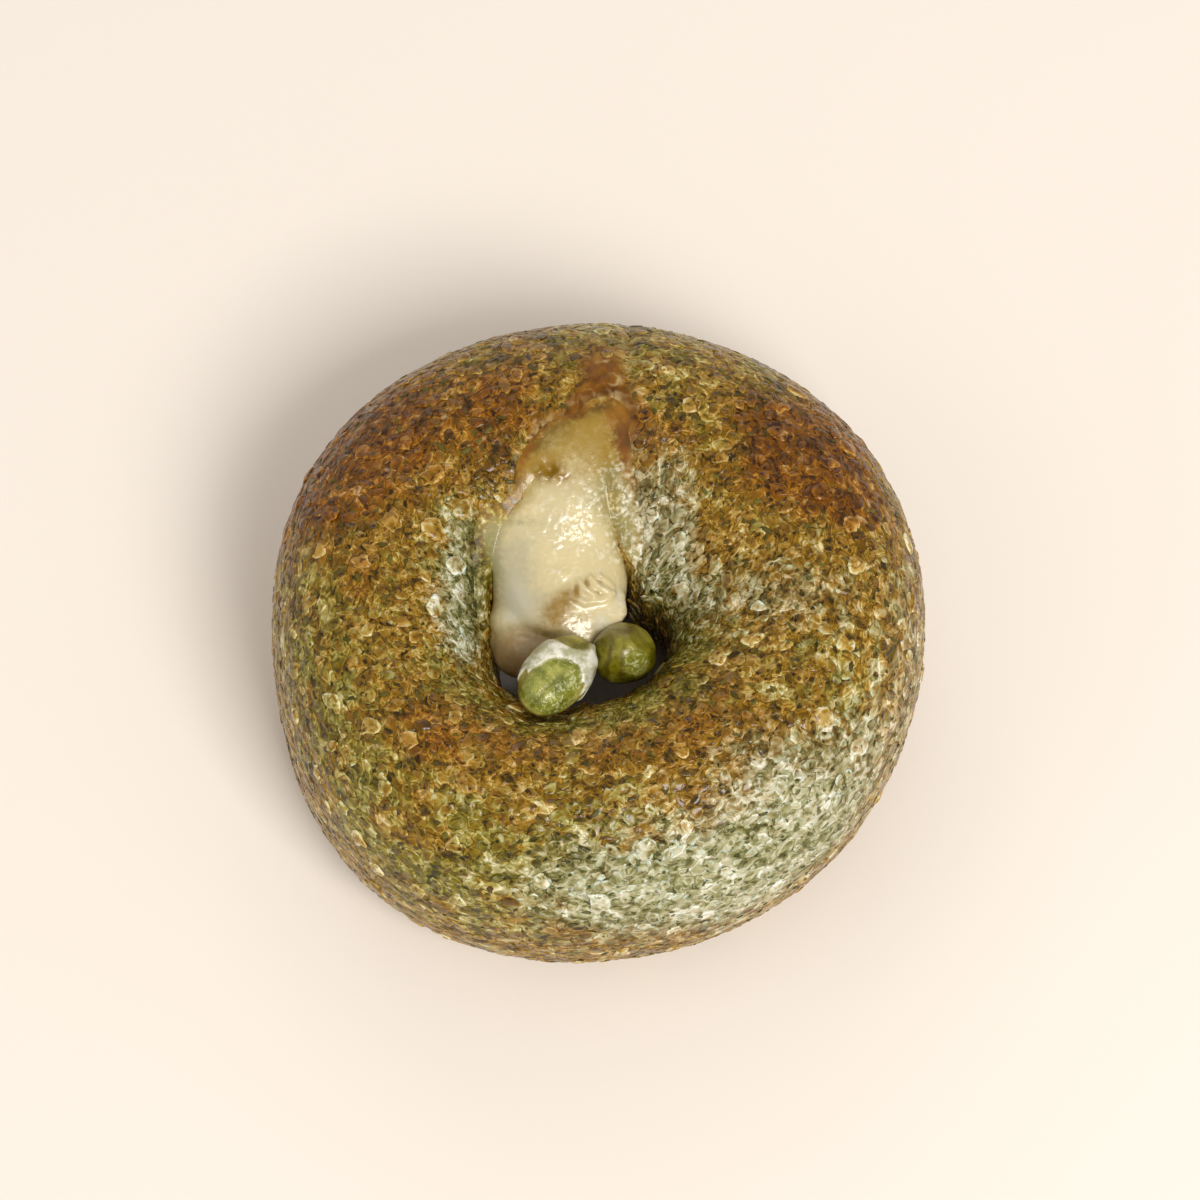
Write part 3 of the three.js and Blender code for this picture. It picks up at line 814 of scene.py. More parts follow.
longer = add(scatter_tree, "FunctionNodeRandomValue", {"Min": 1.0, "Max": size["Longest"], "Seed": 5})
turn = add(scatter_tree, "FunctionNodeRandomValue", {"Min": 0.0, "Max": FULL_TURN, "Seed": 6})
shape = add(
    scatter_tree,
    "ShaderNodeCombineXYZ",
    add(scatter_tree, "MULTIPLY", girth, longer),
    girth,
    add(scatter_tree, "MULTIPLY", girth, size["Thickness"]),
)
turned = add(scatter_tree, "FunctionNodeAxisAngleToRotation", (0.0, 0.0, 1.0), turn)
facing = {"Rotation": points["Rotation"], "Rotate By": turned}
facing = add(scatter_tree, "FunctionNodeRotateRotation", facing, rotation_space="LOCAL")
put = {"Points": lifted, "Instance": lentil, "Rotation": facing, "Scale": shape}
lentils = add(scatter_tree, "GeometryNodeInstanceOnPoints", put)
chance = add(scatter_tree, "FunctionNodeRandomValue", {"Min": 0.0, "Max": 1.0, "Seed": 8})
toned = {"Geometry": lentils, "Name": "tone", "Value": chance}
lentils = add(scatter_tree, "GeometryNodeStoreNamedAttribute", toned, domain="INSTANCE")
lentils = add(scatter_tree, "GeometryNodeRealizeInstances", {"Geometry": lentils})
where = add(scatter_tree, "GeometryNodeInputPosition")
rough = {"Vector": where, "Scale": add(scatter_tree, "DIVIDE", 1.0, size["Ragged width"]), "Detail": 1.0}
rough = add(scatter_tree, "ShaderNodeTexNoise", rough).outputs["Color"]
rough = add(scatter_tree, "ShaderNodeVectorMath", rough, (0.5, 0.5, 0.5), operation="SUBTRACT")
rough = add(scatter_tree, "ShaderNodeVectorMath", rough, size["Ragged"], operation="SCALE")
up = add(scatter_tree, "GeometryNodeInputNamedAttribute", "up", data_type="FLOAT_VECTOR")
off_skin = add(scatter_tree, "ShaderNodeVectorMath", rough, up, operation="PROJECT")
off_skin = add(scatter_tree, "ShaderNodeVectorMath", off_skin, 0.8, operation="SCALE")
rough = add(scatter_tree, "ShaderNodeVectorMath", rough, off_skin, operation="SUBTRACT")
lentils = add(scatter_tree, "GeometryNodeSetPosition", {"Geometry": lentils, "Offset": rough})
lentils = add(scatter_tree, "GeometryNodeSetShadeSmooth", {"Geometry": lentils})
lentils = add(scatter_tree, "GeometryNodeSetMaterial", {"Geometry": lentils, "Material": size["Material"]})
scatter_tree.links.new(lentils.outputs[0], result.inputs[0])

# %% Material of the blisters
def blister_material(name, lightness):
    """The same dough, swollen to a clear skin: paler at the rim, smooth and shiny."""
    global tree
    material, tree, shader = new_material(
        name, Roughness=0.22, IOR=1.45, Specular_IOR_Level=0.45, Subsurface_Weight=0.3, Subsurface_Scale=MM
    )
    tint = tints("rim", "tone")
    place = add(tree, "ShaderNodeTexCoord").outputs["Object"]
    skin = add(tree, "ShaderNodeAttribute", attribute_name="skin").outputs["Vector"]
    flaky = {"Vector": place, "Scale": 1 / (1.4 * MM), "Detail": 1.2, "Roughness": 0.5, "Distortion": 0.6}
    flaky = add(tree, "ShaderNodeTexNoise", flaky)
    strokes = {"Vector": place, "Scale": 1 / (1.1 * MM), "Detail": 1.5, "Distortion": 1.6}
    stroke = between(add(tree, "ShaderNodeTexNoise", strokes), 0.42, 0.35)
    pit = between(add(tree, "ShaderNodeTexVoronoi", {"Vector": place, "Scale": 1 / (2 * MM)}), 0.2, 0.1)
    light = weigh(lightness, (flaky, 1.1, 0.5), (tint["tone"], 0.3, 0.5), (stroke, -0.35, 0.0), (pit, -0.4, 0.0))
    # Painted light: the rim is painted paler, standing in for light shining through the blister's thin edge
    light = weigh(light, (between(tint["rim"], 0.6, 1.0), 0.25, 0.0))
    colour = baked_skin(skin, light, add(tree, "MULTIPLY_ADD", flaky, 1.0, -0.5))
    tree.links.new(colour.outputs["Result"], shader.inputs["Base Color"])
    bump = add(tree, "ShaderNodeBump", {"Strength": 0.8, "Distance": 0.25 * MM, "Height": flaky})
    tree.links.new(bump.outputs[0], shader.inputs["Normal"])
    return material


small_blister = blister_material("Glassy_blister_of_boiled_dough", 0.42)
large_blister = blister_material("Large_glassy_blister", 0.58)

# %% Material of the seaweed
# Laver is a matt leaf, dark green where it is thick and paler where it lies in damp, pale dough
seaweed_material, tree, shader = new_material(
    "Dried_green_laver", Roughness=0.45, IOR=1.4, Specular_IOR_Level=0.4
)
tone = add(tree, "ShaderNodeAttribute", attribute_name="tone").outputs["Fac"]
pale = add(tree, "ShaderNodeAttribute", attribute_name="pale").outputs["Fac"]
colour = blend(pale, blend(tone, "#40390b", "#6a601c"), blend(tone, "#55572a", "#807d4a"))
tree.links.new(colour.outputs["Result"], shader.inputs["Base Color"])

# %% Scatter both
blisters = grow(
    "crust_blisters", scatter_tree, {**LENTIL, "Material": small_blister}, crust.data.copy()
)
# A few have swollen to 2 to 4 mm
LARGE = {
    **LENTIL,
    "Corners": 20,
    "Rings": 8,
    "Spacing": 5.0 * MM,
    "Smallest": 0.8 * MM,
    "Largest": 1.5 * MM,
    "Longest": 1.5,
    "Thickness": 0.3,
    "Ragged": 2.5 * MM,
    "Ragged width": 1.8 * MM,
    "Share": 0.7,
    "Seed": 17,
    "Material": large_blister,
}
large_blisters = grow("large_crust_blisters", scatter_tree, LARGE, crust.data.copy())
FLAKES = {
    **LENTIL,
    "Spacing": 2.1 * MM,
    "Smallest": 0.15 * MM,
    "Largest": 0.4 * MM,
    "Longest": 2.8,
    "Thickness": 0.25,
    "Lift": 0.05 * MM,
    "Ragged": 0.8 * MM,
    "Share": 0.5,
    "Seed": 11,
    "Material": seaweed_material,
}
seaweed = grow("seaweed_flakes", scatter_tree, FLAKES, crust.data.copy())

# %% [markdown]
# ## The cream cheese
# Hot cream cheese flows like thick cream and sets with a tight, smooth skin. Its solid has flat faces and
# stands a hair clear of the dough, and beside it the real cheese thins out to a film on the crust. That film is a
# piece cut out of the skin, moved out where it is thick and into the dough where it ends, and given a back. A voxel
# remesh makes one even skin of the solid and the film. Smoothing rounds it, and a small swelling closes the
# gap, so it lies against the dough and the beans as the real one does. Metaballs could flow together in the same
# way, but their outline is hard to keep to.

# %% The film that runs out over the crust
# In millimetres: how far the joined cheese swells at the end, how high the film stands where it covers the crust
# fully and where it starts, and how deep its back lies. It is cut off where it covers the crust less than its edge.
SWELLING = 0.42
FILM_RISE = 0.8
FILM_START = -0.2
FILM_BACK = 1.6
FILM_EDGE = 0.12


def normals_of(piece):
    """The directions in which a piece's points face."""
    flat = np.empty(len(piece.data.vertices) * 3, np.float32)
    piece.data.vertices.foreach_get("normal", flat)
    return flat.reshape(-1, 3).astype(float)


def move_out(piece, rise):
    """Moves each point of a piece along its normal, by millimetres."""
    places = points_of(piece) + normals_of(piece) * rise[:, None]
    piece.data.vertices.foreach_set("co", (places * MM).astype(np.float32).ravel())
    piece.data.update()


film_piece = bpy.data.objects.new("film", crust.data.copy())
heaped = patches(skin_places, HEAPED) * cover
move_out(film_piece, FILM_START + FILM_RISE * cover + heaped - SWELLING)
film_shell = bmesh.new()
film_shell.from_mesh(film_piece.data)
film_shell.verts.ensure_lookup_table()
bare = [film_shell.verts[index] for index in np.flatnonzero(cover < FILM_EDGE)]
bmesh.ops.delete(film_shell, geom=bare, context="VERTS")
bmesh.ops.solidify(film_shell, geom=film_shell.faces[:], thickness=FILM_BACK * MM)
film_shell.to_mesh(film_piece.data)
film_shell.free()
print("faces of the film:", len(film_piece.data.polygons))


# %% A soft copy of a solid
def soft_copy(name, solids, voxel, smoothing, swelling):
    """Joins solids as an even, rounded mesh, a little larger than they are."""
    joined = bmesh.new()
    for solid in solids:
        joined.from_mesh(solid)
    bmesh.ops.remove_doubles(joined, verts=joined.verts, dist=SAME_POINT * MM)
    mesh = bpy.data.meshes.new(name)
    joined.to_mesh(mesh)
    joined.free()
    piece = bpy.data.objects.new(name, mesh)
    bpy.context.scene.collection.objects.link(piece)
    remesh = piece.modifiers.new("Even skin", "REMESH")
    remesh.mode = "VOXEL"
    remesh.voxel_size = voxel
    remesh.use_smooth_shade = True
    rounding = piece.modifiers.new("Rounding", "SMOOTH")
    rounding.factor = 0.5
    rounding.iterations = smoothing
    swell = piece.modifiers.new("Swelling", "DISPLACE")
    swell.strength = swelling
    swell.mid_level = 0
    depsgraph = bpy.context.evaluated_depsgraph_get()
    finished = bpy.data.meshes.new_from_object(piece.evaluated_get(depsgraph))
    piece.modifiers.clear()
    piece.data = finished
    finished.materials.clear()
    finished.name = name
    report(piece)
    return piece


VOXEL = 0.23 * MM
ROUNDS_OF_SMOOTHING = 60
cheese_solids = [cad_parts["cheese"].data, film_piece.data]
cheese = soft_copy("cheese_filling", cheese_solids, VOXEL, ROUNDS_OF_SMOOTHING, SWELLING * MM)
bpy.data.objects.remove(film_piece)

# %% [markdown]
# The cheese has a few forms of its own: folds of burst skin, a lip that hangs over the hole, the crease over its
# lower lobe, and small boils beside the brown stain. Each moves the points near a place or a path along their
# normals, which is what a sculptor's brush does.


# %% Forms of the cheese
def from_path(places, path):
    """The distance from each place to a path of straight stretches."""
    nearest = np.full(len(places), np.inf)
    for start, end in zip(np.array(path[:-1], float), np.array(path[1:], float)):
        along = end - start
        share = np.clip((places - start) @ along / (along @ along), 0, 1)
        nearest = np.minimum(nearest, np.linalg.norm(places - start - share[:, None] * along, axis=1))
    return nearest


# In millimetres. Each path: half width, rise, points
FOLDS = [
    (0.5, 1.1, [(-3, 2.1, 37), (-2.3, 1, 36.8), (-1, 0.3, 36.1)]),
    (0.5, 1.2, [(-1.4, 2.8, 36.8), (-0.6, 1.7, 36.3), (0.8, 1.3, 35.4)]),
    (0.4, 0.8, [(0, 3.3, 36.5), (1.1, 2.8, 35.7), (1.8, 2.2, 35)]),
    (0.5, 0.8, [(-4, 1.8, 37.2), (-3.9, -0.2, 36.9), (-2.2, -1, 36.3), (0, -0.3, 35.4), (1.6, 1.2, 35)]),
]
LIP = [
    (0.8, 1.0, [(2.7, 1.5, 33.4), (2.2, -0.4, 33.1), (1.3, -1.9, 33.3), (-0.3, -4, 33.8)]),
    (0.4, -0.6, [(2, 1, 34.3), (1.4, -0.3, 34.1), (0.5, -1.8, 34.2), (-0.6, -3.2, 34.4), (-1.8, -4.4, 34.5)]),
    (0.5, 0.25, [(0.9, 0.3, 34.8), (0, -1, 34.9), (-1.2, -2.4, 35), (-2.6, -3.8, 35)]),
]
CREASES = [
    (1.1, -0.8, [(-15.6, -4, 31), (-13.5, -4.4, 33), (-9.5, -5, 34), (-6.5, -6.3, 34.4)]),
    (0.5, -0.35, [(-13.2, 11.1, 39.4), (-11, 10.7, 39.7), (-8.7, 10.6, 39.8)]),
]
# Round forms: middle, reach, rise
BOILS = [
    ((-9.2, 18.6, 42.6), 0.7, 0.8),
    ((-8.2, 17, 42.3), 0.65, 0.8),
    ((-6.6, 16.8, 42.1), 0.7, 0.8),
    ((-5.4, 18, 42.5), 0.7, 0.7),
    ((-7.2, 18.3, 42.5), 0.9, -0.9),
    ((-0.4, 1.3, 36), 2.8, 0.5),
    ((2.2, -1.2, 33.8), (2, 2.5, 2.5), 1.7),
    ((0.3, -3.4, 33.4), (1.8, 2, 2), 1.3),
    ((-5.5, 3, 37.8), (1.4, 0.8, 1.5), 0.35),
]
WRINKLED = [
    ((-4.5, 10.8, 39.8), (5.5, 6.5, 4), 1.0),
    ((3, 18, 41), (3, 3.5, 3), 0.9),
    ((3.4, 10, 37.5), (3.2, 7, 5), 1.2),
    ((-5.4, 3, 37.8), (1.6, 1, 2), 0.9),
    ((-0.3, 1.2, 36), (2.4, 1.8, 2), 0.4),
    ((1.6, -1.6, 33.8), (1.6, 2.5, 2), 0.7),
    ((-2.3, -4.2, 35), (2.6, 1.8, 2), 0.9),
]
# Wrinkles follow the lines where smooth noise passes through zero: how far apart, how wide in the noise's own
# values, and how high
WRINKLE = {"apart": 1.05, "width": 0.14, "rise": 0.17}
# Without a seed, the noise that bends them would start from the clock
WRINKLE_SEED = 3
noise.seed_set(WRINKLE_SEED)

places = points_of(cheese)
wrinkled = np.clip(patches(places, WRINKLED), 0, 1)
wrinkle_and_painted_glint = np.zeros(len(places))
for index in np.flatnonzero(wrinkled > 0.05):
    spot = Vector(places[index]) / WRINKLE["apart"]
    bent = spot + 0.5 * noise.noise_vector(spot * 1.3)
    broken = max(0, min(1, 3 * noise.noise(spot * 1.1 + Vector((5, 5, 5))) + 0.5))
    wrinkle_and_painted_glint[index] = math.exp(-((noise.noise(bent) / WRINKLE["width"]) ** 2)) * broken
wrinkle_and_painted_glint *= wrinkled
rise = patches(places, BOILS) + WRINKLE["rise"] * wrinkle_and_painted_glint
for width, height, path in FOLDS + LIP + CREASES:
    rise += height * np.exp(-((from_path(places, path) / width) ** 2))
move_out(cheese, rise)

# %% [markdown]
# ## The finish of the cheese
# Baked cream cheese is an opaque, fatty white that browns where it boiled dry. Light goes a little way in, which
# softens its edges. A thin coat of whey makes it glossy, and fine wrinkles in its skin catch the light; their
# glints are also painted near white into its colour. Its tints are patches again: golden, toasted and crusty where
# it baked hardest at the top, mossy where the dough's green shows through, stained where it boiled, and darker and
# rosier on the low lobe, which is painted shade. Painted shade also greys the left edge, the left half is greyer
# and darker, and the lip is pale bluish white, partly its clear look and partly a painted sheen. Each is a colour
# and its patches. Where the film is thinnest the crust itself shows through, so its own colours are worked out
# there too.

# %% Tints of the cheese
CHEESE_TINTS = {
    # Greyer and darker over the left half of the cheese
    "greyer_left": ("#b8b08f", [((-12, 4, 37), (4, 8, 6), 0.8), ((-8, -2, 36), (3, 3, 4), 0.5)]),
    "pearly": ("#c2beaa", [((-12.5, -0.5, 35.5), (3.5, 4, 4), 0.7)]),
    # Painted shade: grey and darker along the left edge of the cheese, where it turns away from the light, and in
    # the crease above it
    "painted_edge_shade": ("#9b9671", [((-16.5, 5, 37), (2.4, 9, 6), 1.0), ((-11, 10.9, 39.5), (2.5, 0.8, 3), 0.5)]),
    "golden": (
        "#9f8130",
        [
            *GOLDEN,
            ((2, 20, 43), (3, 4, 4), 0.35),
            ((-9, 20, 42.6), (4, 2, 3), 0.5),
            ((-2, 16.7, 42), (6.5, 2.8, 3), 0.3),
            ((3.3, 19.4, 42.8), (1.8, 2, 3), 0.6),
        ],
    ),
    "crusty": (
        "#5f450a",
        [
            ((-7, 24.9, 43.5), (4.4, 2.4, 3), 0.7),
            ((-10, 21.8, 42.5), (2.8, 1.6, 3), 0.8),
            ((0.5, 28.2, 45), (5, 2.2, 3), 1.1),
        ],
    ),
    "toasted": ("#8a5602", [((2.4, 25.8, 44), (2.3, 2.6, 3), 0.8)]),
    "mossy": (
        "#868247",
        [
            ((2.6, 15, 40), (2.4, 5, 4), 0.9),
            ((3.4, 17, 42), (1.8, 2.2, 3), 0.4),
            ((4.4, 9, 37), (2.2, 5, 4), 0.6),
            ((-0.5, 14, 41), 3, 0.3),
            ((-17.4, 6, 38.5), (1.8, 8, 6), 0.8),
            ((-17.6, -3, 36), (2, 6, 6), 0.6),
        ],
    ),
    # Painted shade: darker and rosier on the low lobe, which lies in the shade of the hole and the front bean
    "rosy_painted_shade": ("#b2976a", [((-12.5, -7.6, 31), (5, 3.6, 5), 1.0), ((-9, -5.6, 33.6), (4, 1.5, 2.5), 0.6)]),
    # Pale bluish white on the lip: partly the clear look of thin whey, partly a painted sheen
    "glassy_painted_sheen": ("#e0e5dc", [((2.6, -0.2, 33.5), (1.3, 2.6, 2), 1.0), ((0.4, -3.4, 33.6), (1.6, 1.8, 2), 1.0)]),
    "stained": (
        "#8f6c04",
        [
            ((-7.4, 17.9, 42), (2.4, 1.7, 2), 1.0),
            ((-5, 17.2, 42), (1.5, 0.9, 1.5), 0.45),
            ((-4.3, 0.1, 37), 1.5, 0.5),
            ((-6.1, -1.4, 36.9), 2.4, 0.36),
            ((-7, -3.2, 36), 2.6, 0.38),
            ((-4.6, -3.8, 35.8), 2.4, 0.35),
            ((-1.6, -3.2, 35.2), 1.8, 0.3),
            ((-1.7, 1.8, 36.7), (0.5, 1, 1), 1.8),
            ((0.3, 2.3, 36), (0.5, 0.9, 1), 1.4),
            ((-3.2, 0.9, 36.9), (0.5, 1.4, 1.2), 0.9),
            ((-0.6, 0.5, 35.9), (1.6, 0.4, 1), 1.6),
            ((0.3, -0.6, 34.9), (1.2, 0.4, 1), 0.9),
            ((-9.2, -5, 34), (3, 0.7, 1.5), 0.35),
        ],
    ),
}
places = points_of(cheese)
tints_of_cheese = {name: spots for name, (_, spots) in CHEESE_TINTS.items()}
for name, spots in {**tints_of_cheese, **DOUGH_TINTS}.items():
    keep(cheese, name, patches(places, spots))
keep(cheese, "wrinkle_and_painted_glint", wrinkle_and_painted_glint)

# %% Where the cheese is thin
# In millimetres: the crust shows through wholly at the first thickness of the film, and no longer at the second
SHEER = (0.1, 0.7)
# Up to about this thickness the cheese is darker, because its white is less deep
THIN = 1.6
LOWEST_FILM = 30
DEEP = 9.0
skin_tree = BVHTree.FromObject(crust, bpy.context.evaluated_depsgraph_get())
thickness = np.full(len(places), DEEP)
for index in np.flatnonzero(places[:, 2] > LOWEST_FILM):
    point = Vector(places[index]) * MM
    nearest, normal = skin_tree.find_nearest(point)[:2]
    thickness[index] = (point - nearest).dot(normal) / MM
keep(cheese, "sheer", 1 - (thickness - SHEER[0]) / (SHEER[1] - SHEER[0]))
keep(cheese, "thin", np.exp(-((np.maximum(thickness, 0) / THIN) ** 2)))

# %% Material of the cheese
cheese_material, tree, shader = new_material(
    "Baked_cream_cheese",
    IOR=1.45,
    Specular_IOR_Level=0.4,
    Subsurface_Radius=(0.5, 0.5, 0.45),
    Subsurface_Scale=2 * MM,
    Coat_Roughness=0.1,
)
place = add(tree, "ShaderNodeTexCoord").outputs["Object"]
cloudy = add(tree, "ShaderNodeTexNoise", {"Vector": place, "Scale": 1 / (5 * MM), "Detail": 3.0})
fine = add(tree, "ShaderNodeTexNoise", {"Vector": place, "Scale": 1 / (0.9 * MM), "Detail": 4.0, "Roughness": 0.6})
tint = tints("wrinkle_and_painted_glint", "thin", "sheer", *CHEESE_TINTS)
colour = blend(between(cloudy, 0.35, 0.65), "#d8c897", "#cfc195").outputs["Result"]
thin = between(weigh(0.0, (tint["thin"], 1.0, 0.0), (fine, 0.7, 0.5)), 0.1, 1.1)
colour = blend(thin, colour, blend(cloudy, "#a08a44", "#b5a261")).outputs["Result"]
for name, (hue, _) in CHEESE_TINTS.items():
    uneven = add(tree, "MULTIPLY", tint[name], weigh(1.0, (fine, 1.6, 0.5), (cloudy, 0.8, 0.5)))
    colour = blend(between(uneven, 0.02, 0.95), colour, hue).outputs["Result"]
# Painted glints: the wrinkles are painted near white, as light glinting on them would look
colour = blend(add(tree, "MULTIPLY", tint["wrinkle_and_painted_glint"], 0.6), colour, "#fbf5e0").outputs["Result"]

# The crust that shows through where the film is sheer
in_mm = add(tree, "ShaderNodeVectorMath", place, 1 / MM, operation="SCALE")
through_light = weigh(0.55, (fine, 2.0, 0.5), (cloudy, 1.0, 0.5), (tint["mossy"], 0.25, 0.0))
flecked = baked_skin(in_mm, through_light, add(tree, "MULTIPLY_ADD", fine, 1.0, -0.5))
flecked = blend(tint["golden"], flecked, shades(weigh(0.5, (cloudy, 1.6, 0.5)), BROWN_FILM))
sheer = weigh(0.0, (tint["sheer"], 1.0, 0.0), (tint["mossy"], 0.5, 0.0), (fine, 1.4, 0.5))
through = between(sheer, 0.15, 0.85)
colour = blend(through, colour, flecked).outputs["Result"]
# Brown pin dots are crumbs of crust, about 4 mm apart and a third of a millimetre wide
CRUMBS_APART = 4 * MM
dots = add(tree, "ShaderNodeTexVoronoi", {"Vector": place, "Scale": 1 / CRUMBS_APART})
colour = blend(between(dots.outputs["Distance"], 0.06, 0.035), colour, "#6d4a1c").outputs["Result"]
tree.links.new(colour, shader.inputs["Base Color"])

bump = add(tree, "ShaderNodeBump", {"Strength": 0.5, "Distance": 0.1 * MM, "Height": fine})
tree.links.new(bump.outputs[0], shader.inputs["Normal"])
tree.links.new(bump.outputs[0], shader.inputs["Coat Normal"])
# Whey lies thickest on the stain, and dried off where the cheese is thin or baked hard
roughness = weigh(0.42, (fine, 0.3, 0.5), (tint["golden"], 0.25, 0.0), (tint["stained"], -0.2, 0.0))
whey = weigh(0.8, (through, -0.55, 0.0), (tint["golden"], -0.7, 0.0), (tint["crusty"], -0.5, 0.0))
whey = weigh(whey, (tint["painted_edge_shade"], -0.6, 0.0), (tint["stained"], 0.6, 0.0))
tree.links.new(roughness.outputs[0], shader.inputs["Roughness"])
tree.links.new(weigh(0.25, (through, -0.25, 0.0)).outputs[0], shader.inputs["Subsurface Weight"])
tree.links.new(whey.outputs[0], shader.inputs["Coat Weight"])
cheese.data.materials.append(cheese_material)
print("nodes in the cheese's material:", len(tree.nodes))

# %% [markdown]
# ## The soybeans
# A green soybean is an egg shape with a thin skin. Both beans start as a fine ball of triangles, whose points
# a rule stretches, as in the solid model. The front bean lost its skin on the side that shows: its
# bright flesh lies a little deeper, and a smear of cream has dried round it. The other bean stands on end, and its
# skin shrank into flat facets as it dried.

# %% The rule of a bean
# A bean's flat side looks this way. Its dent and its taper are shares of its own size.
TOWARDS_VIEWER = np.array([0, -0.375, 0.927])
BEAN_DENT = 0.5
DENT_HALF_WIDTH = 0.45
BEAN_TAPER = 0.04
BALL_FINENESS = 6


def unit(vector):
    """The same direction, 1 long."""
    return vector / np.linalg.norm(vector)


def soft_step(value, low, high):
    """A smooth rise from 0 at low to 1 at high."""
    share = np.clip((value - low) / (high - low), 0, 1)
    return share * share * (3 - 2 * share)


def bean(name, at, along, halves, details):
    """Makes a bean. details gives, for each point of the ball, how far it is raised, and its tints."""
    ball = bmesh.new()
    bmesh.ops.create_icosphere(ball, subdivisions=BALL_FINENESS, radius=1)
    mesh = bpy.data.meshes.new(name)
    ball.to_mesh(mesh)
    ball.free()
    piece = bpy.data.objects.new(name, mesh)
    bpy.context.scene.collection.objects.link(piece)
    local = points_of(piece) * MM
    x, y, z = local.T
    length = unit(np.array(along))
    width = unit(np.cross(length, TOWARDS_VIEWER))
    axes = np.array([width, length, np.cross(width, length)])
    half_length, half_width, half_thick = halves
    plump = 1 - BEAN_TAPER * y
    dent = np.where(z > 0, BEAN_DENT * z * np.exp(-((x / DENT_HALF_WIDTH) ** 2)) * (1 - y * y), 0)
    stretched = np.stack([half_width * x * plump, half_length * y, half_thick * z * plump - dent], 1)
    facing = local / np.array([half_width, half_length, half_thick])
    facing /= np.linalg.norm(facing, axis=1)[:, None]
    raised, kept = details(x, y, z, local @ axes)
    places = (stretched + facing * raised[:, None]) @ axes + np.array(at) + ORIGIN
    mesh.vertices.foreach_set("co", (places * MM).astype(np.float32).ravel())
    mesh.shade_smooth()
    mesh.update()
    for label, amount in kept.items():
        keep(piece, label, amount)
    report(piece)
    return piece


# %% The front bean: bare flesh, and a smear of cream round it
def ripple(x, y, z):
    """A smooth unevenness from -1 to 1 that never repeats on the bean."""
    return (np.sin(7 * x + 3 * z) * np.sin(6 * y + 1) + np.sin(13 * y - 5 * x) * np.sin(9 * z + 2)) / 2


def oval(x, y, middle, halves):
    """How far out a place on the bean's face lies in an oval: 0 in its middle, 1 on its edge."""
    return np.hypot((x - middle[0]) / halves[0], (y - middle[1]) / halves[1])


def bared_and_smeared(x, y, z, seen):
    """The front bean's details. They need only the bean's own directions, not seen."""
    # The bared face is an oval on the side that shows, with a patch of skin left at one end
    uneven = ripple(x, y, z)
    from_face = oval(x, y, (0.2, -0.5), (0.88, 0.7)) + 0.05 * uneven
    flesh_and_painted_light = soft_step(from_face, 1.0, 0.92) * (z > 0)
    skin_left = soft_step(oval(x, y, (-0.5, 0.8), (0.7, 0.42)), 1.3, 0.7)
    # The smear lies round the face. A wavy edge keeps it from ending in a straight line behind.
    wavy = 0.3 * ripple(0.8 * y, 0.8 * z, x)
    smear = soft_step(from_face, 0.92, 1.02) * soft_step(y - 0.3 * x + wavy, -0.4, -0.1)
    smear *= soft_step(z + wavy, -0.45, 0)
    smear *= 1 - skin_left
    smear = soft_step(smear + 0.16 * ripple(2.2 * x, 2.2 * y, z), 0.2, 0.9)
    lumps = 0.34 + 0.12 * ripple(y, x, z)
    # A furrow runs along the flesh, with painted shade in it, and pale streaks beside it are painted glints
    furrow = np.exp(-(((x - 0.1 - 0.1 * y) / 0.08) ** 2)) * soft_step(y, 0.1, -0.2) * flesh_and_painted_light
    painted_glint_streaks = soft_step(x - 0.1 * y, 0.15, 0.35) * flesh_and_painted_light
    raised = 0.06 * uneven - 0.3 * flesh_and_painted_light - 0.18 * furrow + smear * lumps
    return raised, {"flesh_and_painted_light": flesh_and_painted_light, "cream": smear, "band_and_painted_shade": 0.5 * furrow, "painted_glint_streaks": painted_glint_streaks}


FRONT_BEAN = {"at": (-5.7, -13.5, 38.5), "along": (0.57, 0.8, -0.25), "halves": (7.6, 4.7, 4.1)}
front_bean = bean("front_soybean", **FRONT_BEAN, details=bared_and_smeared)

# %% The bean on end: facets and bands
# Each facet looks to one side of the viewer: degrees off the line of sight, degrees round it, and where the cut
# starts. The first one faces the light, and its colour is painted lighter as painted light.
LIT_SIDE = (34, -46)
FACETS = [(*LIT_SIDE, 0.88), (48, 180, 0.88), (50, 40, 0.88), (62, -95, 0.9), (22, 115, 0.95), (60, 95, 0.9)]
FACET_DEPTH = 4.6
ACROSS_VIEW = np.array([1, 0, 0])
UP_VIEW = np.array([0, 0.927, 0.375])


def look(off, round_it):
    """A direction given by its angle off the line of sight and its angle round it."""
    off, round_it = math.radians(off), math.radians(round_it)
    sideways = math.cos(round_it) * ACROSS_VIEW + math.sin(round_it) * UP_VIEW
    return unit(math.cos(off) * TOWARDS_VIEWER + math.sin(off) * sideways)


def shrunk(x, y, z, seen):
    """The side bean's details. seen is where each point lies in the part's own directions."""
    cut = sum(np.maximum(seen @ look(off, round_it) - start, 0) for off, round_it, start in FACETS)
    right = seen @ ACROSS_VIEW
    # Dark bands on the left side of the bean, and darker towards its top as seen
    bands = soft_step(np.sin(12 * right + 2 * z + 1.5 * ripple(x, y, z)), -0.4, 0.9) * soft_step(right, 0.15, -0.1)
    bands = np.maximum(bands, 0.8 * soft_step(seen @ UP_VIEW, 0.15, 0.6))
    # Painted light: the facet that faces the light gets the paler flesh colours and painted glint streaks
    lit = soft_step(seen @ look(*LIT_SIDE), 0.84, 0.94)
    return 0.08 * ripple(x, y, z) - FACET_DEPTH * cut, {"band_and_painted_shade": bands, "flesh_and_painted_light": lit, "painted_glint_streaks": lit}


SIDE_BEAN = {"at": (4.25, -8.1, 33), "along": (0.03, 0.1, -0.99), "halves": (6.4, 4.85, 4.6)}
side_bean = bean("side_soybean", **SIDE_BEAN, details=shrunk)


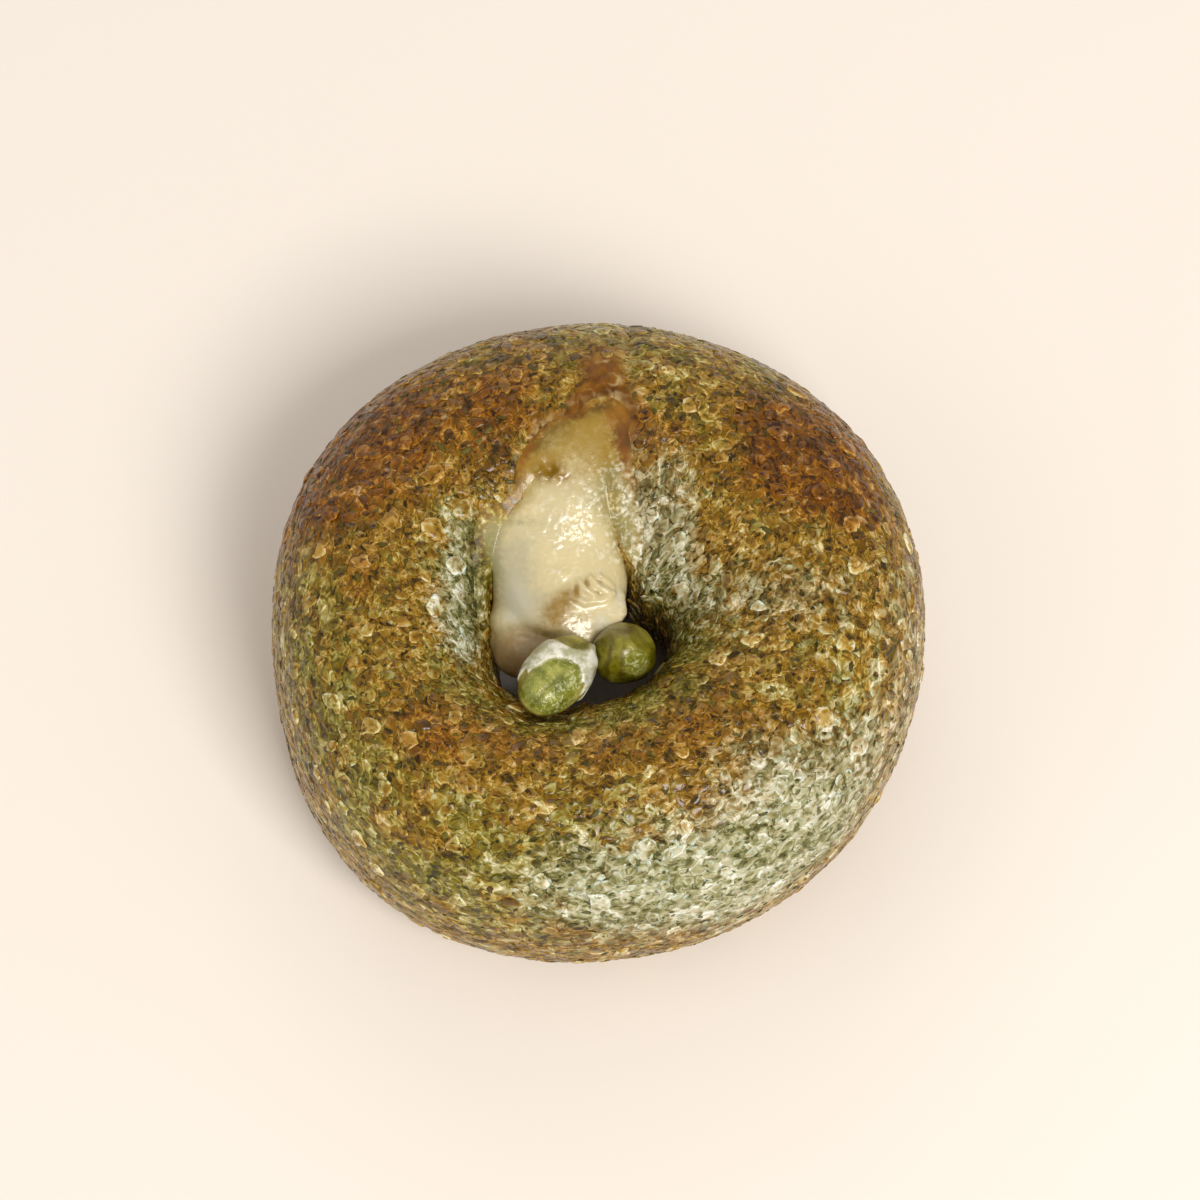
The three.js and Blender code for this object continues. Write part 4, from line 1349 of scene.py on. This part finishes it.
# %% Material of the beans
def bean_material(name, skin_colours, flesh_colours):
    """Cooked soybean: a moist, half clear skin over paler flesh, so it is glossy and its colour shifts slowly."""
    global tree
    material, tree, shader = new_material(
        name,
        Roughness=0.35,
        IOR=1.42,
        Subsurface_Weight=0.1,
        Subsurface_Radius=(0.6, 0.6, 0.3),
        Subsurface_Scale=1.2 * MM,
        Coat_Weight=0.6,
        Coat_Roughness=0.1,
    )
    place = add(tree, "ShaderNodeTexCoord").outputs["Object"]
    cloudy = add(tree, "ShaderNodeTexNoise", {"Vector": place, "Scale": 1 / (3 * MM), "Detail": 3.0})
    fine = {"Vector": place, "Scale": 1 / (0.8 * MM), "Detail": 3.0, "Roughness": 0.6, "Distortion": 1.0}
    fine = add(tree, "ShaderNodeTexNoise", fine)
    tint = tints("flesh_and_painted_light", "cream", "band_and_painted_shade", "painted_glint_streaks")
    mixed = weigh(0.5, (fine, 0.6, 0.5), (cloudy, 1.8, 0.5))
    skin_colour = shades(mixed, skin_colours)
    # Pale specks on the flesh, most along the streaks, are painted glints
    wet = add(tree, "MULTIPLY", between(fine, 0.5, 0.64), weigh(0.15, (tint["painted_glint_streaks"], 0.5, 0.0)))
    flesh_colour = blend(wet, shades(mixed, flesh_colours), "#cdd19c")
    # Bare flesh on the front bean; on the side bean the same paler colours are painted light on its lit facet
    colour = blend(tint["flesh_and_painted_light"], skin_colour, flesh_colour)
    # Dark brown: the side bean's bands, and painted shade in the front bean's furrow
    colour = blend(add(tree, "MULTIPLY", tint["band_and_painted_shade"], 0.6), colour, "#4a3a08")
    cream = between(weigh(0.0, (tint["cream"], 1.0, 0.0), (fine, 0.8, 0.5)), 0.1, 0.9)
    thick = between(weigh(0.0, (cloudy, 1.0, 0.0), (fine, 0.3, 0.5)), 0.36, 0.6)
    colour = blend(cream, colour, blend(thick, "#aeac86", "#ebe9da"))
    tree.links.new(colour.outputs["Result"], shader.inputs["Base Color"])
    rough = add(tree, "MULTIPLY", fine, weigh(0.3, (tint["flesh_and_painted_light"], 0.6, 0.0), (tint["cream"], -0.15, 0.0)))
    bump = add(tree, "ShaderNodeBump", {"Strength": 0.8, "Distance": 0.3 * MM, "Height": rough})
    tree.links.new(bump.outputs[0], shader.inputs["Normal"])
    tree.links.new(bump.outputs[0], shader.inputs["Coat Normal"])
    return material


front_bean.data.materials.append(
    bean_material(
        "Skinned_green_soybean",
        {0.2: "#5e5a14", 0.5: "#857c2c", 0.8: "#a59a4c"},
        {0.2: "#5f6410", 0.5: "#808426", 0.8: "#a6a54c"},
    )
)
side_bean.data.materials.append(
    bean_material(
        "Dried_green_soybean",
        {0.2: "#544e06", 0.5: "#7c7612", 0.8: "#9f9832"},
        {0.2: "#6a6b16", 0.5: "#86852c", 0.8: "#a4a04c"},
    )
)

# %% Finish
for piece, slot, node in (
    (crust, "crust", "dough"),
    (blisters, "crust", None),
    (large_blisters, "crust", None),
    (seaweed, "crust", None),
    (cheese, "cream_cheese", "cheese"),
    (front_bean, "green_bean", "front_bean"),
    (side_bean, "green_bean", "side_bean"),
):
    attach(piece, "root")
    if node:
        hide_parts(node)
